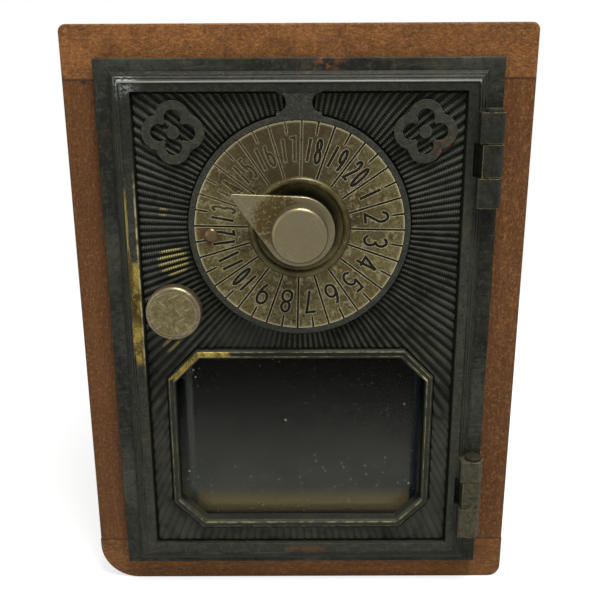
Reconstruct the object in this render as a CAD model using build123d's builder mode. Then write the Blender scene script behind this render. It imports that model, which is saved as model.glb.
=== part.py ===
from build123d import *
from math import acos, atan2, cos, degrees, hypot, pi, radians, sin
import os

# Savings box with a post office box door: a small wooden box, a cast frame and hinged door on
# its front, a dial lock and a turn latch on the door. Millimetres, +Z up, the front faces -Y.
# The origin is the middle of the box's underside.

# ---- wooden box ----
box_width = 111.5
box_height = 147.8
box_depth = 101.6
lid_thickness = 12.5
base_thickness = 12.1
side_thickness = 11.5
back_thickness = 9.0
lid_edge_round = 1.8
face_edge_round = 0.6
worn_corner_round = 10.2
base_corner_round = 3.4
coin_slot_length = 36.0
coin_slot_width = 4.6
glue_line = 0.02

# ---- wood screws ----
wood_screw_radius = 1.6
wood_screw_head_radius = 3.1
wood_screw_head_height = 1.9
screw_slot_width = 0.8
screw_slot_depth = 0.7
back_screw_length = 19.0
back_screw_inset = 20.0
frame_screw_length = 10.5
frame_screw_inset = 25.0

# ---- cast frame ----
flange_side_margin = 8.0
flange_top_margin = 7.6
flange_bottom = 6.4
flange_thickness = 2.4
flange_edge_round = 0.4
sleeve_depth = 16.0
sleeve_wall = 2.4
sleeve_gap = 0.35
lip_thickness = 2.0
lip_front = 0.4
lip_width = 4.0
lip_height = 1.1

# ---- door casting ----
side_reveal = 3.75
bottom_reveal = 1.9
top_reveal = 3.0
seat_gap = 0.3
swing_gap = 0.5
plate_edge = 0.3
overlay_thickness = 1.8
bevel_width = 2.3
rim_side = 2.45
rim_top = 2.2
rim_bottom = 2.9
recess_depth = 2.0
plate_thickness = 1.8
body_overlap = 2.8
ray_count = 140
ray_height = 0.25
ray_fill = 0.42
ray_margin = 0.7

# ---- hinges ----
hinge_side_inset = 2.65
hinge_lift = 2.75
barrel_radius = 2.6
barrel_cheek = 2.25
hinge_length = 22.1
knuckle_length = 7.8
knuckle_gap = 0.25
upper_hinge_drop = 20.4
lower_hinge_lift = 19.9
lower_knuckle_rise = 1.2
pin_radius = 1.25
pin_head_radius = 2.1
pin_head_height = 0.9
pin_head_gap = 0.1
pin_head_round = 0.45
notch_gap = 1.5
running_fit = 0.05

# ---- window ----
bezel_side_gap = 5.25
bezel_bottom_gap = 4.75
bezel_dial_gap = 4.7
bezel_corner = 7.5
window_corner = 6.6
glass_corner = 7.3
glass_plateau_corner = 5.0
bezel_side = 1.9
bezel_edge = 2.2
bezel_rise = 1.7
bezel_chamfer = 0.55
glass_lap = 1.6
glass_edge_thickness = 2.4
glass_bevel_width = 4.6
glass_bevel_rise = 0.9
glass_gap = 0.2
glass_seat_gap = 0.7
retainer_thickness = 1.0
retainer_lap = 1.6
retainer_side_margin = 2.3
retainer_end_margin = 1.85
retainer_screw_inset = 2.6
boss_radius = 2.2

# ---- small machine screws ----
machine_screw_radius = 1.1
machine_screw_head_radius = 2.1
machine_screw_head_height = 1.1
machine_slot_width = 0.55
machine_slot_depth = 0.5
screw_head_round = 0.36

# ---- dial ----
dial_drop = 36.5
dial_radius = 25.4
dial_thickness = 1.65
dial_divisions = 20
dial_first_line = 1.4
dial_line_width = 0.34
dial_line_depth = 0.22
dial_tick_length = 2.6
dial_line_margin = 0.5
dial_ring_gap = 0.15
dial_ring_width = 1.3
dial_ring_rise = 1.75
bridge_width = 6.0
bridge_flare = 2.3
cup_bead_radius = 12.4
cup_seat_radius = 10.9
cup_bead_rise = 0.8
cup_lip = 0.5
cup_floor_radius = 6.4
cup_floor_drop = 0.9
cup_shank_radius = 5.8
cup_nut_radius = 8.2
cup_nut_height = 2.0
cup_shank_past_nut = 0.4
rivet_offset = 21.6
rivet_angle = 94.8
rivet_head_radius = 1.9
rivet_head_height = 0.7
rivet_head_round = 0.55
rivet_shank_radius = 1.0

# ---- pointer and dial knob ----
spindle_radius = 2.4
pointer_radius = 8.4
pointer_length = 18.4
pointer_tip_radius = 0.6
pointer_angle = 61.5
pointer_thickness = 1.2
pointer_edge_round = 0.3
pointer_lift = 3.8
pointer_hub_radius = 5.0
pointer_hub_clear = 0.4
dial_knob_radius = 6.65
dial_knob_height = 5.0
knob_edge_round = 1.0
spindle_in_knob = 3.2

# ---- combination wheels ----
wheel_radius = 14.3
wheel_thickness = 1.5
wheel_pitch = 2.1
wheel_gate_width = 3.0
wheel_gate_depth = 2.6
wheel_gate_angle = 40.0
wheel_hole_radius = 0.8
wheel_hole_circle = 9.6
wheel_hole_count = 10
washer_radius = 4.2
washer_thickness = 0.4
drive_cam_radius = 9.0
drive_cam_thickness = 1.8
drive_cam_gap = 1.1
drive_lug_radius = 0.9
drive_lug_circle = 7.0
drive_lug_height = 0.3
stack_gap = 0.1

# ---- lock frame ----
pillar_radius = 2.6
lock_plate_left = 24.0
lock_plate_right = 22.0
lock_plate_top = 20.4
lock_plate_bottom = 25.4
lock_plate_thickness = 1.6
latch_pillar_gap = 3.1
lock_screw_length = 6.0
pillar_inset = 4.2
wheel_to_plate = 0.7
collar_radius = 4.0
collar_thickness = 1.5
spindle_past_collar = 0.5

# ---- fence lever ----
fence_reach = 13.0
fence_rim_gap = 0.35
fence_hub_radius = 3.0
fence_arm_width = 2.8
fence_arm_thickness = 1.8
fence_nose_depth = 3.0
fence_nose_width = 2.6
fence_tail_gap = 1.5
fence_pivot_radius = 1.5
fence_pivot_margin = 1.8
fence_side_gap = 0.4
spring_wire_radius = 0.35
spring_turns = 4.0
spring_pitch = 0.8
spring_leg = 4.5
spring_coil_gap = 0.15

# ---- turn latch ----
latch_inset = 13.75
latch_drop = 19.6
latch_knob_radius = 6.75
latch_knob_thickness = 3.0
latch_knob_lift = 5.5
latch_ring_radius = 5.7
latch_ring_width = 0.25
latch_ring_depth = 0.15
latch_neck_radius = 4.0
latch_boss_radius = 4.8
latch_boss_height = 2.7
latch_end_play = 0.1
tongue_thickness = 2.0
tongue_width = 5.0
tongue_hub_radius = 4.4
tongue_sleeve_gap = 1.4
latch_cam_radius = 5.0
latch_cam_thickness = 2.0
latch_cam_sleeve_radius = 3.4
latch_cam_sleeve_length = 2.6
latch_cam_notch = 2.4
latch_nut_radius = 3.8
latch_nut_height = 2.0
latch_washer_thickness = 0.4
latch_washer_radius = 4.4

# ---- raised corner ornaments ----
ornament_inset = 9.65
ornament_drop = 9.3
ornament_lobe_radius = 4.1
ornament_lobe_offset = 3.3
ornament_line = 2.1
ornament_boss_radius = 1.5
ornament_eye_radius = 2.9
ornament_rise = 1.4

# ---- places worked out from the sizes above ----
face_y = box_depth / 2
inner_half_width = box_width / 2 - side_thickness
lid_underside = box_height - lid_thickness
inner_tall = lid_underside - base_thickness
side_mid_height = base_thickness + inner_tall / 2
shell_depth = box_depth - back_thickness
shell_mid_y = -back_thickness / 2

flange_width = box_width - 2 * flange_side_margin
flange_height = box_height - flange_top_margin - flange_bottom
flange_mid_height = flange_bottom + flange_height / 2
sleeve_width = 2 * (inner_half_width - sleeve_gap)
sleeve_tall = inner_tall - 2 * sleeve_gap
lip_opening_width = sleeve_width - 2 * sleeve_wall - 2 * lip_width
lip_opening_tall = sleeve_tall - 2 * sleeve_wall - 2 * lip_height

door_bottom = flange_bottom + bottom_reveal
door_top = flange_bottom + flange_height - top_reveal
door_width = flange_width - 2 * side_reveal
door_tall = door_top - door_bottom
door_mid_height = (door_top + door_bottom) / 2
overlay_back = flange_thickness + seat_gap
rim_front = overlay_back + overlay_thickness
field_front = rim_front - recess_depth
plate_back = field_front - plate_thickness
body_width = door_width - 2 * body_overlap
body_tall = door_tall - 2 * body_overlap
recess_left = door_width / 2 - bevel_width - rim_side
recess_bottom = door_bottom + bevel_width + rim_bottom
recess_top = door_top - bevel_width - rim_top
recess_tall = recess_top - recess_bottom
recess_mid_height = (recess_top + recess_bottom) / 2

hinge_x = flange_width / 2 - hinge_side_inset
hinge_front = flange_thickness + hinge_lift
hinge_levels = (
    (door_top - upper_hinge_drop, door_top - upper_hinge_drop),
    (door_bottom + lower_hinge_lift, door_bottom + lower_hinge_lift + lower_knuckle_rise),
)

dial_height = door_top - dial_drop
dial_place = (0, dial_height)
latch_offset = inner_half_width - latch_inset
latch_x = -latch_offset
latch_height = dial_height - latch_drop
latch_place = (latch_x, latch_height)

dial_seat = field_front + glue_line
dial_front = dial_seat + dial_thickness
ring_inner = dial_radius + dial_ring_gap
ring_outer = ring_inner + dial_ring_width
pointer_back = dial_front + pointer_lift
pointer_front = pointer_back + pointer_thickness
spindle_front = pointer_front + spindle_in_knob

drive_cam_front = plate_back - cup_nut_height - cup_shank_past_nut - drive_cam_gap
rivet_place = (
    rivet_offset * cos(radians(90 + rivet_angle)),
    dial_height + rivet_offset * sin(radians(90 + rivet_angle)),
)
wheel_fronts = [
    drive_cam_front - drive_cam_thickness - washer_thickness - 2 * stack_gap - wheel_pitch * index
    for index in range(3)
]
wheels_back = wheel_fronts[2] - wheel_thickness
lock_plate_front = wheels_back - wheel_to_plate
lock_plate_back = lock_plate_front - lock_plate_thickness
spindle_back = lock_plate_back - stack_gap - collar_thickness - spindle_past_collar

tongue_front = plate_back - latch_boss_height - latch_end_play
tongue_back = tongue_front - tongue_thickness
latch_cam_back = tongue_back - latch_cam_sleeve_length - latch_cam_thickness
tongue_length = inner_half_width - sleeve_gap - sleeve_wall - tongue_sleeve_gap - latch_offset

bezel_width = 2 * (recess_left - bezel_side_gap)
bezel_top = dial_height - ring_outer - bezel_dial_gap
bezel_bottom = recess_bottom + bezel_bottom_gap
bezel_tall = bezel_top - bezel_bottom
window_place = (0, (bezel_top + bezel_bottom) / 2)
window_width = bezel_width - 2 * bezel_side
window_tall = bezel_tall - 2 * bezel_edge
glass_width = window_width + 2 * glass_lap
glass_tall = window_tall + 2 * glass_lap
glass_front = plate_back - glass_seat_gap
glass_back = glass_front - glass_edge_thickness
retainer_width = glass_width + 2 * retainer_side_margin
retainer_tall = glass_tall + 2 * retainer_end_margin
retainer_front = glass_back - glass_gap
screw_blind_skin = plate_thickness / 2
retainer_boss_places = [
    (x, window_place[1] + z)
    for x in (retainer_screw_inset - retainer_width / 2, retainer_width / 2 - retainer_screw_inset)
    for z in (retainer_screw_inset - retainer_tall / 2, retainer_tall / 2 - retainer_screw_inset)
]
fence_nose_radius = wheel_radius + fence_rim_gap + fence_nose_depth / 2
latch_angle = atan2(-latch_drop, -latch_offset)
fence_nose_place = (
    fence_nose_radius * cos(latch_angle),
    dial_height + fence_nose_radius * sin(latch_angle),
)
fence_pivot_place = (
    fence_nose_place[0] + fence_reach * sin(latch_angle),
    fence_nose_place[1] - fence_reach * cos(latch_angle),
)
fence_tail_direction = atan2(latch_height - fence_pivot_place[1], latch_x - fence_pivot_place[0])
fence_to_latch = hypot(latch_height - fence_pivot_place[1], latch_x - fence_pivot_place[0])
fence_tail_length = fence_to_latch - latch_cam_radius - fence_arm_width / 2 - fence_tail_gap
pillar_left = pillar_inset - lock_plate_left
pillar_right = lock_plate_right - pillar_inset
pillar_top = dial_height + lock_plate_top - pillar_inset
pillar_bottom = dial_height + pillar_inset - lock_plate_bottom
pillar_by_latch = latch_x + latch_cam_radius + latch_pillar_gap + pillar_radius
pillar_places = (
    (pillar_left, pillar_top),
    (pillar_right, pillar_top),
    (pillar_right, pillar_bottom),
    (pillar_by_latch, pillar_bottom),
)


def front(out):
    """Plane parallel to the box's face, out millimetres in front of it; its y runs up."""
    return Plane.XZ.offset(face_y + out)


def turning_plane(x, height):
    """Plane through an axis that stands square to the face; x is the radius, y is out."""
    return Plane(origin=(x, -face_y, height), x_dir=(1, 0, 0), z_dir=(0, 0, -1))


def turning_axis(x, height):
    """Axis square to the box's face."""
    return Axis((x, -face_y, height), (0, -1, 0))


def keep(piece, name):
    """Label a finished piece and write it to its own file."""
    piece.part.label = name
    export_step(piece.part, f"parts/{name}.step")


def cut_corner_outline(width, tall, corner):
    """Corner points of a rectangle whose four corners are cut at 45 degrees."""
    quarter = [(width / 2, tall / 2 - corner), (width / 2 - corner, tall / 2)]
    upper = quarter + [(-x, y) for x, y in reversed(quarter)]
    return upper + [(-x, -y) for x, y in upper]


def slotted_screw(length, shank, head, head_height, slot_width, slot_depth, flush):
    """Slotted screw along +Z from the origin; a flush head tapers in, a round one stands out."""
    with BuildPart() as screw:
        if flush:
            with BuildSketch(Plane.XY):
                Circle(head)
            with BuildSketch(Plane.XY.offset(head_height)):
                Circle(shank)
            loft()
            head_top = 0.0
        else:
            with BuildSketch(Plane.XY.offset(-head_height)):
                Circle(head)
            extrude(amount=head_height)
            fillet(screw.faces().sort_by(Axis.Z)[0].edges(), screw_head_round)
            head_top = -head_height
        with BuildSketch(Plane.XY):
            Circle(shank)
        extrude(amount=length)
        with BuildSketch(Plane.XY.offset(head_top)):
            Rectangle(2 * head, slot_width)
        extrude(amount=slot_depth, mode=Mode.SUBTRACT)
    return screw.part


def screw_hole(depth, shank, head, head_height):
    """Countersunk hole along +Z from the origin that a flush screw of the same sizes fills."""
    with BuildPart() as hole:
        with BuildSketch(Plane.XY):
            Circle(head)
        with BuildSketch(Plane.XY.offset(head_height)):
            Circle(shank)
        loft()
        with BuildSketch(Plane.XY):
            Circle(shank)
        extrude(amount=depth)
    return hole.part


def disc(x, height, out, radius, thickness, bore):
    """Disc or washer square to the box's face; its front face is out in front of it."""
    with BuildPart() as plate:
        with BuildSketch(front(out - thickness)):
            with Locations((x, height)):
                Circle(radius)
                Circle(bore, mode=Mode.SUBTRACT)
        extrude(amount=thickness)
    return plate.part


def knuckle(bottom, top, foot_left, foot_back, bore):
    """Hinge knuckle: a round barrel whose flat cheek runs back to what carries it."""
    cheek_front = hinge_front + barrel_cheek
    with BuildPart() as barrel:
        with BuildSketch(Plane.XY.offset(bottom)):
            with Locations((hinge_x, -face_y - hinge_front)):
                Circle(barrel_radius)
            with Locations((foot_left, -face_y - cheek_front)):
                foot_size = (hinge_x - foot_left, cheek_front - foot_back)
                Rectangle(*foot_size, align=(Align.MIN, Align.MIN))
            with Locations((hinge_x, -face_y - hinge_front)):
                Circle(bore, mode=Mode.SUBTRACT)
        extrude(amount=top - bottom)
    return barrel.part


def knuckle_levels(middle, frame_middle):
    """Heights of one hinge: its bottom, the frame knuckle's two ends, and its top."""
    half_knuckle = knuckle_length / 2
    ends = (frame_middle - half_knuckle, frame_middle + half_knuckle)
    return middle - hinge_length / 2, *ends, middle + hinge_length / 2


os.makedirs("parts", exist_ok=True)

# ---- places of the screws ----
back_screw_x = (box_width - side_thickness) / 2
back_screw_heights = (back_screw_inset, box_height / 2, box_height - back_screw_inset)
back_screw_planes = [
    Plane(origin=(x, face_y, z), x_dir=(1, 0, 0), z_dir=(0, -1, 0))
    for x in (-back_screw_x, back_screw_x)
    for z in back_screw_heights
]
sleeve_inner_x = sleeve_width / 2 - sleeve_wall
frame_screw_heights = (base_thickness + frame_screw_inset, lid_underside - frame_screw_inset)
frame_screw_y = -face_y + sleeve_depth / 2
frame_screw_planes = [
    Plane(origin=(side * sleeve_inner_x, frame_screw_y, z), x_dir=(0, 0, 1), z_dir=(side, 0, 0))
    for side in (-1, 1)
    for z in frame_screw_heights
]
wood_head = (wood_screw_radius, wood_screw_head_radius, wood_screw_head_height)
back_screw_hole = screw_hole(back_screw_length, *wood_head)
frame_screw_hole = screw_hole(frame_screw_length, *wood_head)

# ---- wooden box: lid and base run the full width, the sides stand between them ----
with BuildPart() as top_board:
    with BuildSketch(Plane.XY.offset(lid_underside)):
        with Locations((0, shell_mid_y)):
            Rectangle(box_width, shell_depth)
    extrude(amount=lid_thickness)
    fillet(top_board.edges().filter_by(Axis.Y).group_by(Axis.Z)[-1], lid_edge_round)
    fillet(top_board.faces().sort_by(Axis.Y)[0].edges().group_by(Axis.Z)[-1], face_edge_round)
    with BuildSketch(Plane.XY.offset(lid_underside)):
        SlotOverall(coin_slot_length, coin_slot_width)
    extrude(amount=lid_thickness, mode=Mode.SUBTRACT)
keep(top_board, "top_board")

with BuildPart() as bottom_board:
    with BuildSketch(Plane.XY):
        with Locations((0, shell_mid_y)):
            Rectangle(box_width, shell_depth)
    extrude(amount=base_thickness)
    lower_edges = bottom_board.edges().filter_by(Axis.Y).group_by(Axis.Z)[0].sort_by(Axis.X)
    fillet(lower_edges[0], worn_corner_round)
    lower_edges = bottom_board.edges().filter_by(Axis.Y).group_by(Axis.Z)[0].sort_by(Axis.X)
    fillet(lower_edges[-1], base_corner_round)
keep(bottom_board, "bottom_board")

for name, side in (("left_board", -1), ("right_board", 1)):
    with BuildPart() as side_board:
        with BuildSketch(Plane.XY.offset(base_thickness + glue_line)):
            with Locations((side * (box_width - side_thickness) / 2, shell_mid_y)):
                Rectangle(side_thickness, shell_depth)
        extrude(amount=inner_tall - 2 * glue_line)
        outer_edge = side_board.edges().filter_by(Axis.Z).group_by(Axis.Y)[0].sort_by(Axis.X)
        fillet(outer_edge[0] if side < 0 else outer_edge[-1], face_edge_round)
        with Locations(*[plane for plane in back_screw_planes if plane.origin.X * side > 0]):
            add(back_screw_hole, mode=Mode.SUBTRACT)
        with Locations(*[plane for plane in frame_screw_planes if plane.origin.X * side > 0]):
            add(frame_screw_hole, mode=Mode.SUBTRACT)
    keep(side_board, name)

with BuildPart() as back_board:
    with BuildSketch(Plane.XZ.offset(-face_y)):
        with Locations((0, box_height / 2)):
            Rectangle(box_width, box_height)
    extrude(amount=back_thickness - glue_line)
    lower_edges = back_board.edges().filter_by(Axis.Y).group_by(Axis.Z)[0].sort_by(Axis.X)
    fillet(lower_edges[0], worn_corner_round)
    lower_edges = back_board.edges().filter_by(Axis.Y).group_by(Axis.Z)[0].sort_by(Axis.X)
    fillet(lower_edges[-1], base_corner_round)
    fillet(back_board.edges().filter_by(Axis.Y).group_by(Axis.Z)[-1], lid_edge_round)
    with Locations(*back_screw_planes):
        add(back_screw_hole, mode=Mode.SUBTRACT)
keep(back_board, "back_board")

with BuildPart() as back_screws:
    with Locations(*back_screw_planes):
        add(slotted_screw(back_screw_length, *wood_head, screw_slot_width, screw_slot_depth, True))
keep(back_screws, "back_screws")

# ---- cast frame: flange on the box's face, sleeve inside the box, stop lip, frame knuckles ----
with BuildPart() as door_frame:
    with BuildSketch(front(0)):
        with Locations((0, flange_mid_height)):
            Rectangle(flange_width, flange_height)
    extrude(amount=flange_thickness)
    fillet(door_frame.faces().sort_by(Axis.Y)[0].edges(), flange_edge_round)
    with BuildSketch(front(-sleeve_depth)):
        with Locations((0, side_mid_height)):
            Rectangle(sleeve_width, sleeve_tall)
    extrude(amount=sleeve_depth)
    with BuildSketch(front(-sleeve_depth)):
        with Locations((0, side_mid_height)):
            Rectangle(sleeve_width - 2 * sleeve_wall, sleeve_tall - 2 * sleeve_wall)
    extrude(amount=sleeve_depth + lip_front - lip_thickness, mode=Mode.SUBTRACT)
    with BuildSketch(front(lip_front - lip_thickness)):
        with Locations((0, side_mid_height)):
            Rectangle(lip_opening_width, lip_opening_tall)
    extrude(amount=lip_thickness + flange_thickness, mode=Mode.SUBTRACT)
    with BuildSketch(front(lip_front)):
        with Locations((0, door_mid_height)):
            Rectangle(body_width + 2 * swing_gap, body_tall + 2 * swing_gap)
    extrude(amount=flange_thickness, mode=Mode.SUBTRACT)
    for middle, frame_middle in hinge_levels:
        bottom, low, high, top = knuckle_levels(middle, frame_middle)
        ends = (low + knuckle_gap / 2, high - knuckle_gap / 2)
        add(knuckle(*ends, hinge_x - barrel_radius, 0, pin_radius))
    with Locations(*frame_screw_planes):
        add(frame_screw_hole, mode=Mode.SUBTRACT)
keep(door_frame, "door_frame")

with BuildPart() as frame_screws:
    with Locations(*frame_screw_planes):
        add(slotted_screw(frame_screw_length, *wood_head, screw_slot_width, screw_slot_depth, True))
keep(frame_screws, "frame_screws")

for name, (middle, frame_middle) in zip(("hinge_pin_upper", "hinge_pin_lower"), hinge_levels):
    bottom, low, high, top = knuckle_levels(middle, frame_middle)
    with BuildPart() as hinge_pin:
        with BuildSketch(Plane.XY.offset(bottom)):
            with Locations((hinge_x, -face_y - hinge_front)):
                Circle(pin_radius)
        extrude(amount=top - bottom + pin_head_gap)
        with BuildSketch(Plane.XY.offset(top + pin_head_gap)):
            with Locations((hinge_x, -face_y - hinge_front)):
                Circle(pin_head_radius)
        extrude(amount=pin_head_height)
        fillet(hinge_pin.faces().sort_by(Axis.Z)[-1].edges(), pin_head_round)
    keep(hinge_pin, name)

# ---- door casting: plate, rim, recessed field, dial ring, bezel, ornaments, knuckles ----
with BuildPart() as dial_surround:
    bridge_tall = recess_top - dial_height - ring_outer
    bridge_middle = dial_height + ring_outer + bridge_tall / 2
    with BuildSketch(front(field_front)):
        with Locations((0, bridge_middle)):
            Rectangle(bridge_width + 2 * bridge_flare, bridge_tall + dial_ring_width)
        with Locations(
            (bridge_width / 2 + bridge_flare, bridge_middle),
            (-bridge_width / 2 - bridge_flare, bridge_middle),
        ):
            Circle(bridge_flare, mode=Mode.SUBTRACT)
        with Locations(dial_place):
            Circle(ring_outer)
            Circle(ring_inner, mode=Mode.SUBTRACT)
    extrude(amount=dial_ring_rise)

with BuildPart() as window_bezel:
    with BuildSketch(front(field_front)):
        with Locations(window_place):
            Polygon(*cut_corner_outline(bezel_width, bezel_tall, bezel_corner), align=None)
            inner_outline = cut_corner_outline(window_width, window_tall, window_corner)
            Polygon(*inner_outline, align=None, mode=Mode.SUBTRACT)
    extrude(amount=bezel_rise)
    chamfer(window_bezel.faces().sort_by(Axis.Y)[0].edges(), bezel_chamfer)

with BuildPart() as corner_ornaments:
    for side in (-1, 1):
        with BuildSketch(front(field_front)) as quatrefoil:
            with Locations((side * (recess_left - ornament_inset), recess_top - ornament_drop)):
                with PolarLocations(ornament_lobe_offset, 4):
                    Circle(ornament_lobe_radius)
                with PolarLocations(ornament_lobe_offset, 4):
                    Circle(ornament_lobe_radius - ornament_line, mode=Mode.SUBTRACT)
                Circle(ornament_eye_radius, mode=Mode.SUBTRACT)
                Circle(ornament_boss_radius)
        extrude(amount=ornament_rise)

with BuildPart() as sunburst:
    ray_start = ring_outer + ray_margin
    ray_half_angle = pi * ray_fill / ray_count
    ray_reach = hypot(door_width, door_tall)
    with BuildSketch(front(field_front)) as ray_field:
        with Locations((0, recess_mid_height)):
            Rectangle(2 * recess_left - 2 * ray_margin, recess_tall - 2 * ray_margin)
        with Locations(dial_place):
            Circle(ray_start, mode=Mode.SUBTRACT)
        with Locations((0, recess_top)):
            Rectangle(bridge_width + 2 * bridge_flare, recess_top - dial_height, mode=Mode.SUBTRACT)
        with Locations(latch_place):
            Circle(latch_boss_radius + ray_margin, mode=Mode.SUBTRACT)
        with Locations(window_place):
            bezel_outline = cut_corner_outline(bezel_width, bezel_tall, bezel_corner)
            Polygon(*bezel_outline, align=None, mode=Mode.SUBTRACT)
    with BuildSketch(front(field_front)) as rays:
        with Locations(dial_place):
            with PolarLocations(0, ray_count):
                Polygon(
                    (ray_start, -ray_start * sin(ray_half_angle)),
                    (ray_reach, -ray_reach * sin(ray_half_angle)),
                    (ray_reach, ray_reach * sin(ray_half_angle)),
                    (ray_start, ray_start * sin(ray_half_angle)),
                    align=None,
                )
        add(ray_field.sketch, mode=Mode.INTERSECT)
    extrude(rays.sketch, amount=ray_height)

with BuildPart() as door_casting:
    with BuildSketch(front(overlay_back)):
        with Locations((0, door_mid_height)):
            Rectangle(door_width, door_tall)
    extrude(amount=plate_edge)
    with BuildSketch(front(overlay_back + plate_edge)):
        with Locations((0, door_mid_height)):
            Rectangle(door_width, door_tall)
    with BuildSketch(front(rim_front)):
        with Locations((0, door_mid_height)):
            Rectangle(door_width - 2 * bevel_width, door_tall - 2 * bevel_width)
    loft()
    with BuildSketch(front(plate_back)):
        with Locations((0, door_mid_height)):
            Rectangle(body_width, body_tall)
    extrude(amount=overlay_back - plate_back)
    with BuildSketch(front(field_front)):
        with Locations((0, recess_mid_height)):
            Rectangle(2 * recess_left, recess_tall)
    extrude(amount=recess_depth, mode=Mode.SUBTRACT)
    add(dial_surround.part)
    add(window_bezel.part)
    add(corner_ornaments.part)
    with BuildSketch(front(plate_back)):
        with Locations(window_place):
            Polygon(*cut_corner_outline(window_width, window_tall, window_corner), align=None)
    extrude(amount=plate_thickness + bezel_rise, mode=Mode.SUBTRACT)
    with BuildSketch(front(plate_back)):
        with Locations(latch_place):
            Circle(latch_boss_radius)
    extrude(amount=-latch_boss_height)
    with BuildSketch(front(plate_back)):
        with Locations(*retainer_boss_places):
            Circle(boss_radius)
    extrude(amount=retainer_front - plate_back)
    for middle, frame_middle in hinge_levels:
        bottom, low, high, top = knuckle_levels(middle, frame_middle)
        with BuildSketch(front(overlay_back)):
            with Locations((hinge_x - barrel_radius - notch_gap, low - knuckle_gap / 2)):
                Rectangle(hinge_x, high - low + knuckle_gap, align=(Align.MIN, Align.MIN))
        extrude(amount=overlay_thickness, mode=Mode.SUBTRACT)
        foot_left = door_width / 2 - bevel_width
        for start, end in ((bottom, low - knuckle_gap / 2), (high + knuckle_gap / 2, top)):
            add(knuckle(start, end, foot_left, overlay_back, pin_radius + running_fit))
            with BuildSketch(Plane.XY.offset(start)):
                with Locations((hinge_x, -face_y - hinge_front)):
                    Circle(pin_radius + running_fit)
            extrude(amount=end - start, mode=Mode.SUBTRACT)
    with BuildSketch(front(field_front)):
        with Locations(dial_place):
            Circle(cup_shank_radius + running_fit)
        with Locations(rivet_place):
            Circle(rivet_shank_radius)
        with Locations(latch_place):
            Circle(spindle_radius + running_fit)
        with Locations(*retainer_boss_places):
            Circle(machine_screw_radius)
    extrude(amount=-(field_front - retainer_front + latch_boss_height), mode=Mode.SUBTRACT)
    with BuildSketch(front(field_front)):
        with Locations(*retainer_boss_places):
            Circle(machine_screw_radius)
    extrude(amount=-screw_blind_skin)
    add(sunburst.part)
keep(door_casting, "door_casting")

# ---- window: bevelled glass held from behind by a pressed retainer ----
with BuildPart() as window_glass:
    with BuildSketch(front(glass_back)):
        with Locations(window_place):
            Polygon(*cut_corner_outline(glass_width, glass_tall, glass_corner), align=None)
    extrude(amount=glass_edge_thickness)
    with BuildSketch(front(glass_front)):
        with Locations(window_place):
            Polygon(*cut_corner_outline(glass_width, glass_tall, glass_corner), align=None)
    with BuildSketch(front(glass_front + glass_bevel_rise)):
        with Locations(window_place):
            plateau = (glass_width - 2 * glass_bevel_width, glass_tall - 2 * glass_bevel_width)
            Polygon(*cut_corner_outline(*plateau, glass_plateau_corner), align=None)
    loft()
keep(window_glass, "window_glass")

with BuildPart() as glass_retainer:
    with BuildSketch(front(retainer_front - retainer_thickness)):
        with Locations(window_place):
            RectangleRounded(retainer_width, retainer_tall, retainer_screw_inset)
            sight = (window_width - 2 * retainer_lap, window_tall - 2 * retainer_lap)
            Polygon(*cut_corner_outline(*sight, window_corner), align=None, mode=Mode.SUBTRACT)
        with Locations(*retainer_boss_places):
            Circle(machine_screw_radius, mode=Mode.SUBTRACT)
    extrude(amount=retainer_thickness)
keep(glass_retainer, "glass_retainer")

machine_head = (machine_screw_radius, machine_screw_head_radius, machine_screw_head_height)
machine_slot = (machine_slot_width, machine_slot_depth, False)
with BuildPart() as retainer_screws:
    retainer_screw_length = retainer_thickness + field_front - screw_blind_skin - retainer_front
    for x, z in retainer_boss_places:
        seat_y = -face_y - retainer_front + retainer_thickness
        with Locations(Plane(origin=(x, seat_y, z), x_dir=(1, 0, 0), z_dir=(0, -1, 0))):
            add(slotted_screw(retainer_screw_length, *machine_head, *machine_slot))
keep(retainer_screws, "retainer_screws")

# ---- dial: numbered plate, centre cup that clamps it, nut behind, locating rivet ----
with BuildPart() as dial_plate:
    line_length = dial_radius - dial_line_margin - cup_bead_radius
    division = 360 / dial_divisions
    first_line = 90 - dial_first_line
    with BuildSketch(front(dial_seat)):
        with Locations(dial_place):
            Circle(dial_radius)
            Circle(cup_seat_radius + running_fit, mode=Mode.SUBTRACT)
        with Locations(rivet_place):
            Circle(rivet_shank_radius, mode=Mode.SUBTRACT)
    extrude(amount=dial_thickness)
    with BuildSketch(front(dial_front - dial_line_depth)):
        with Locations(dial_place):
            with PolarLocations(cup_bead_radius + line_length / 2, dial_divisions, first_line):
                Rectangle(line_length, dial_line_width)
            tick_radius = dial_radius - dial_line_margin - dial_tick_length / 2
            with PolarLocations(tick_radius, dial_divisions, first_line - division / 2):
                Rectangle(dial_tick_length, dial_line_width)
    extrude(amount=dial_line_depth, mode=Mode.SUBTRACT)
keep(dial_plate, "dial_plate")

with BuildPart() as dial_cup:
    bore = spindle_radius + running_fit
    cup_back = plate_back - cup_nut_height - cup_shank_past_nut
    bead_foot = dial_front + glue_line
    bead_crest = (cup_seat_radius + cup_bead_radius) / 2
    floor_front = dial_front - cup_floor_drop
    with BuildSketch(turning_plane(*dial_place)):
        with BuildLine():
            Polyline(
                (cup_seat_radius - cup_lip, dial_front),
                (cup_floor_radius, floor_front),
                (bore, floor_front),
                (bore, cup_back),
                (cup_shank_radius, cup_back),
                (cup_shank_radius, dial_seat),
                (cup_seat_radius, dial_seat),
                (cup_seat_radius, bead_foot),
                (cup_bead_radius, bead_foot),
            )
            ThreePointArc(
                (cup_bead_radius, bead_foot),
                (bead_crest, dial_front + cup_bead_rise),
                (cup_seat_radius - cup_lip, dial_front),
            )
        make_face()
    revolve(axis=turning_axis(*dial_place))
keep(dial_cup, "dial_cup")

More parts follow.
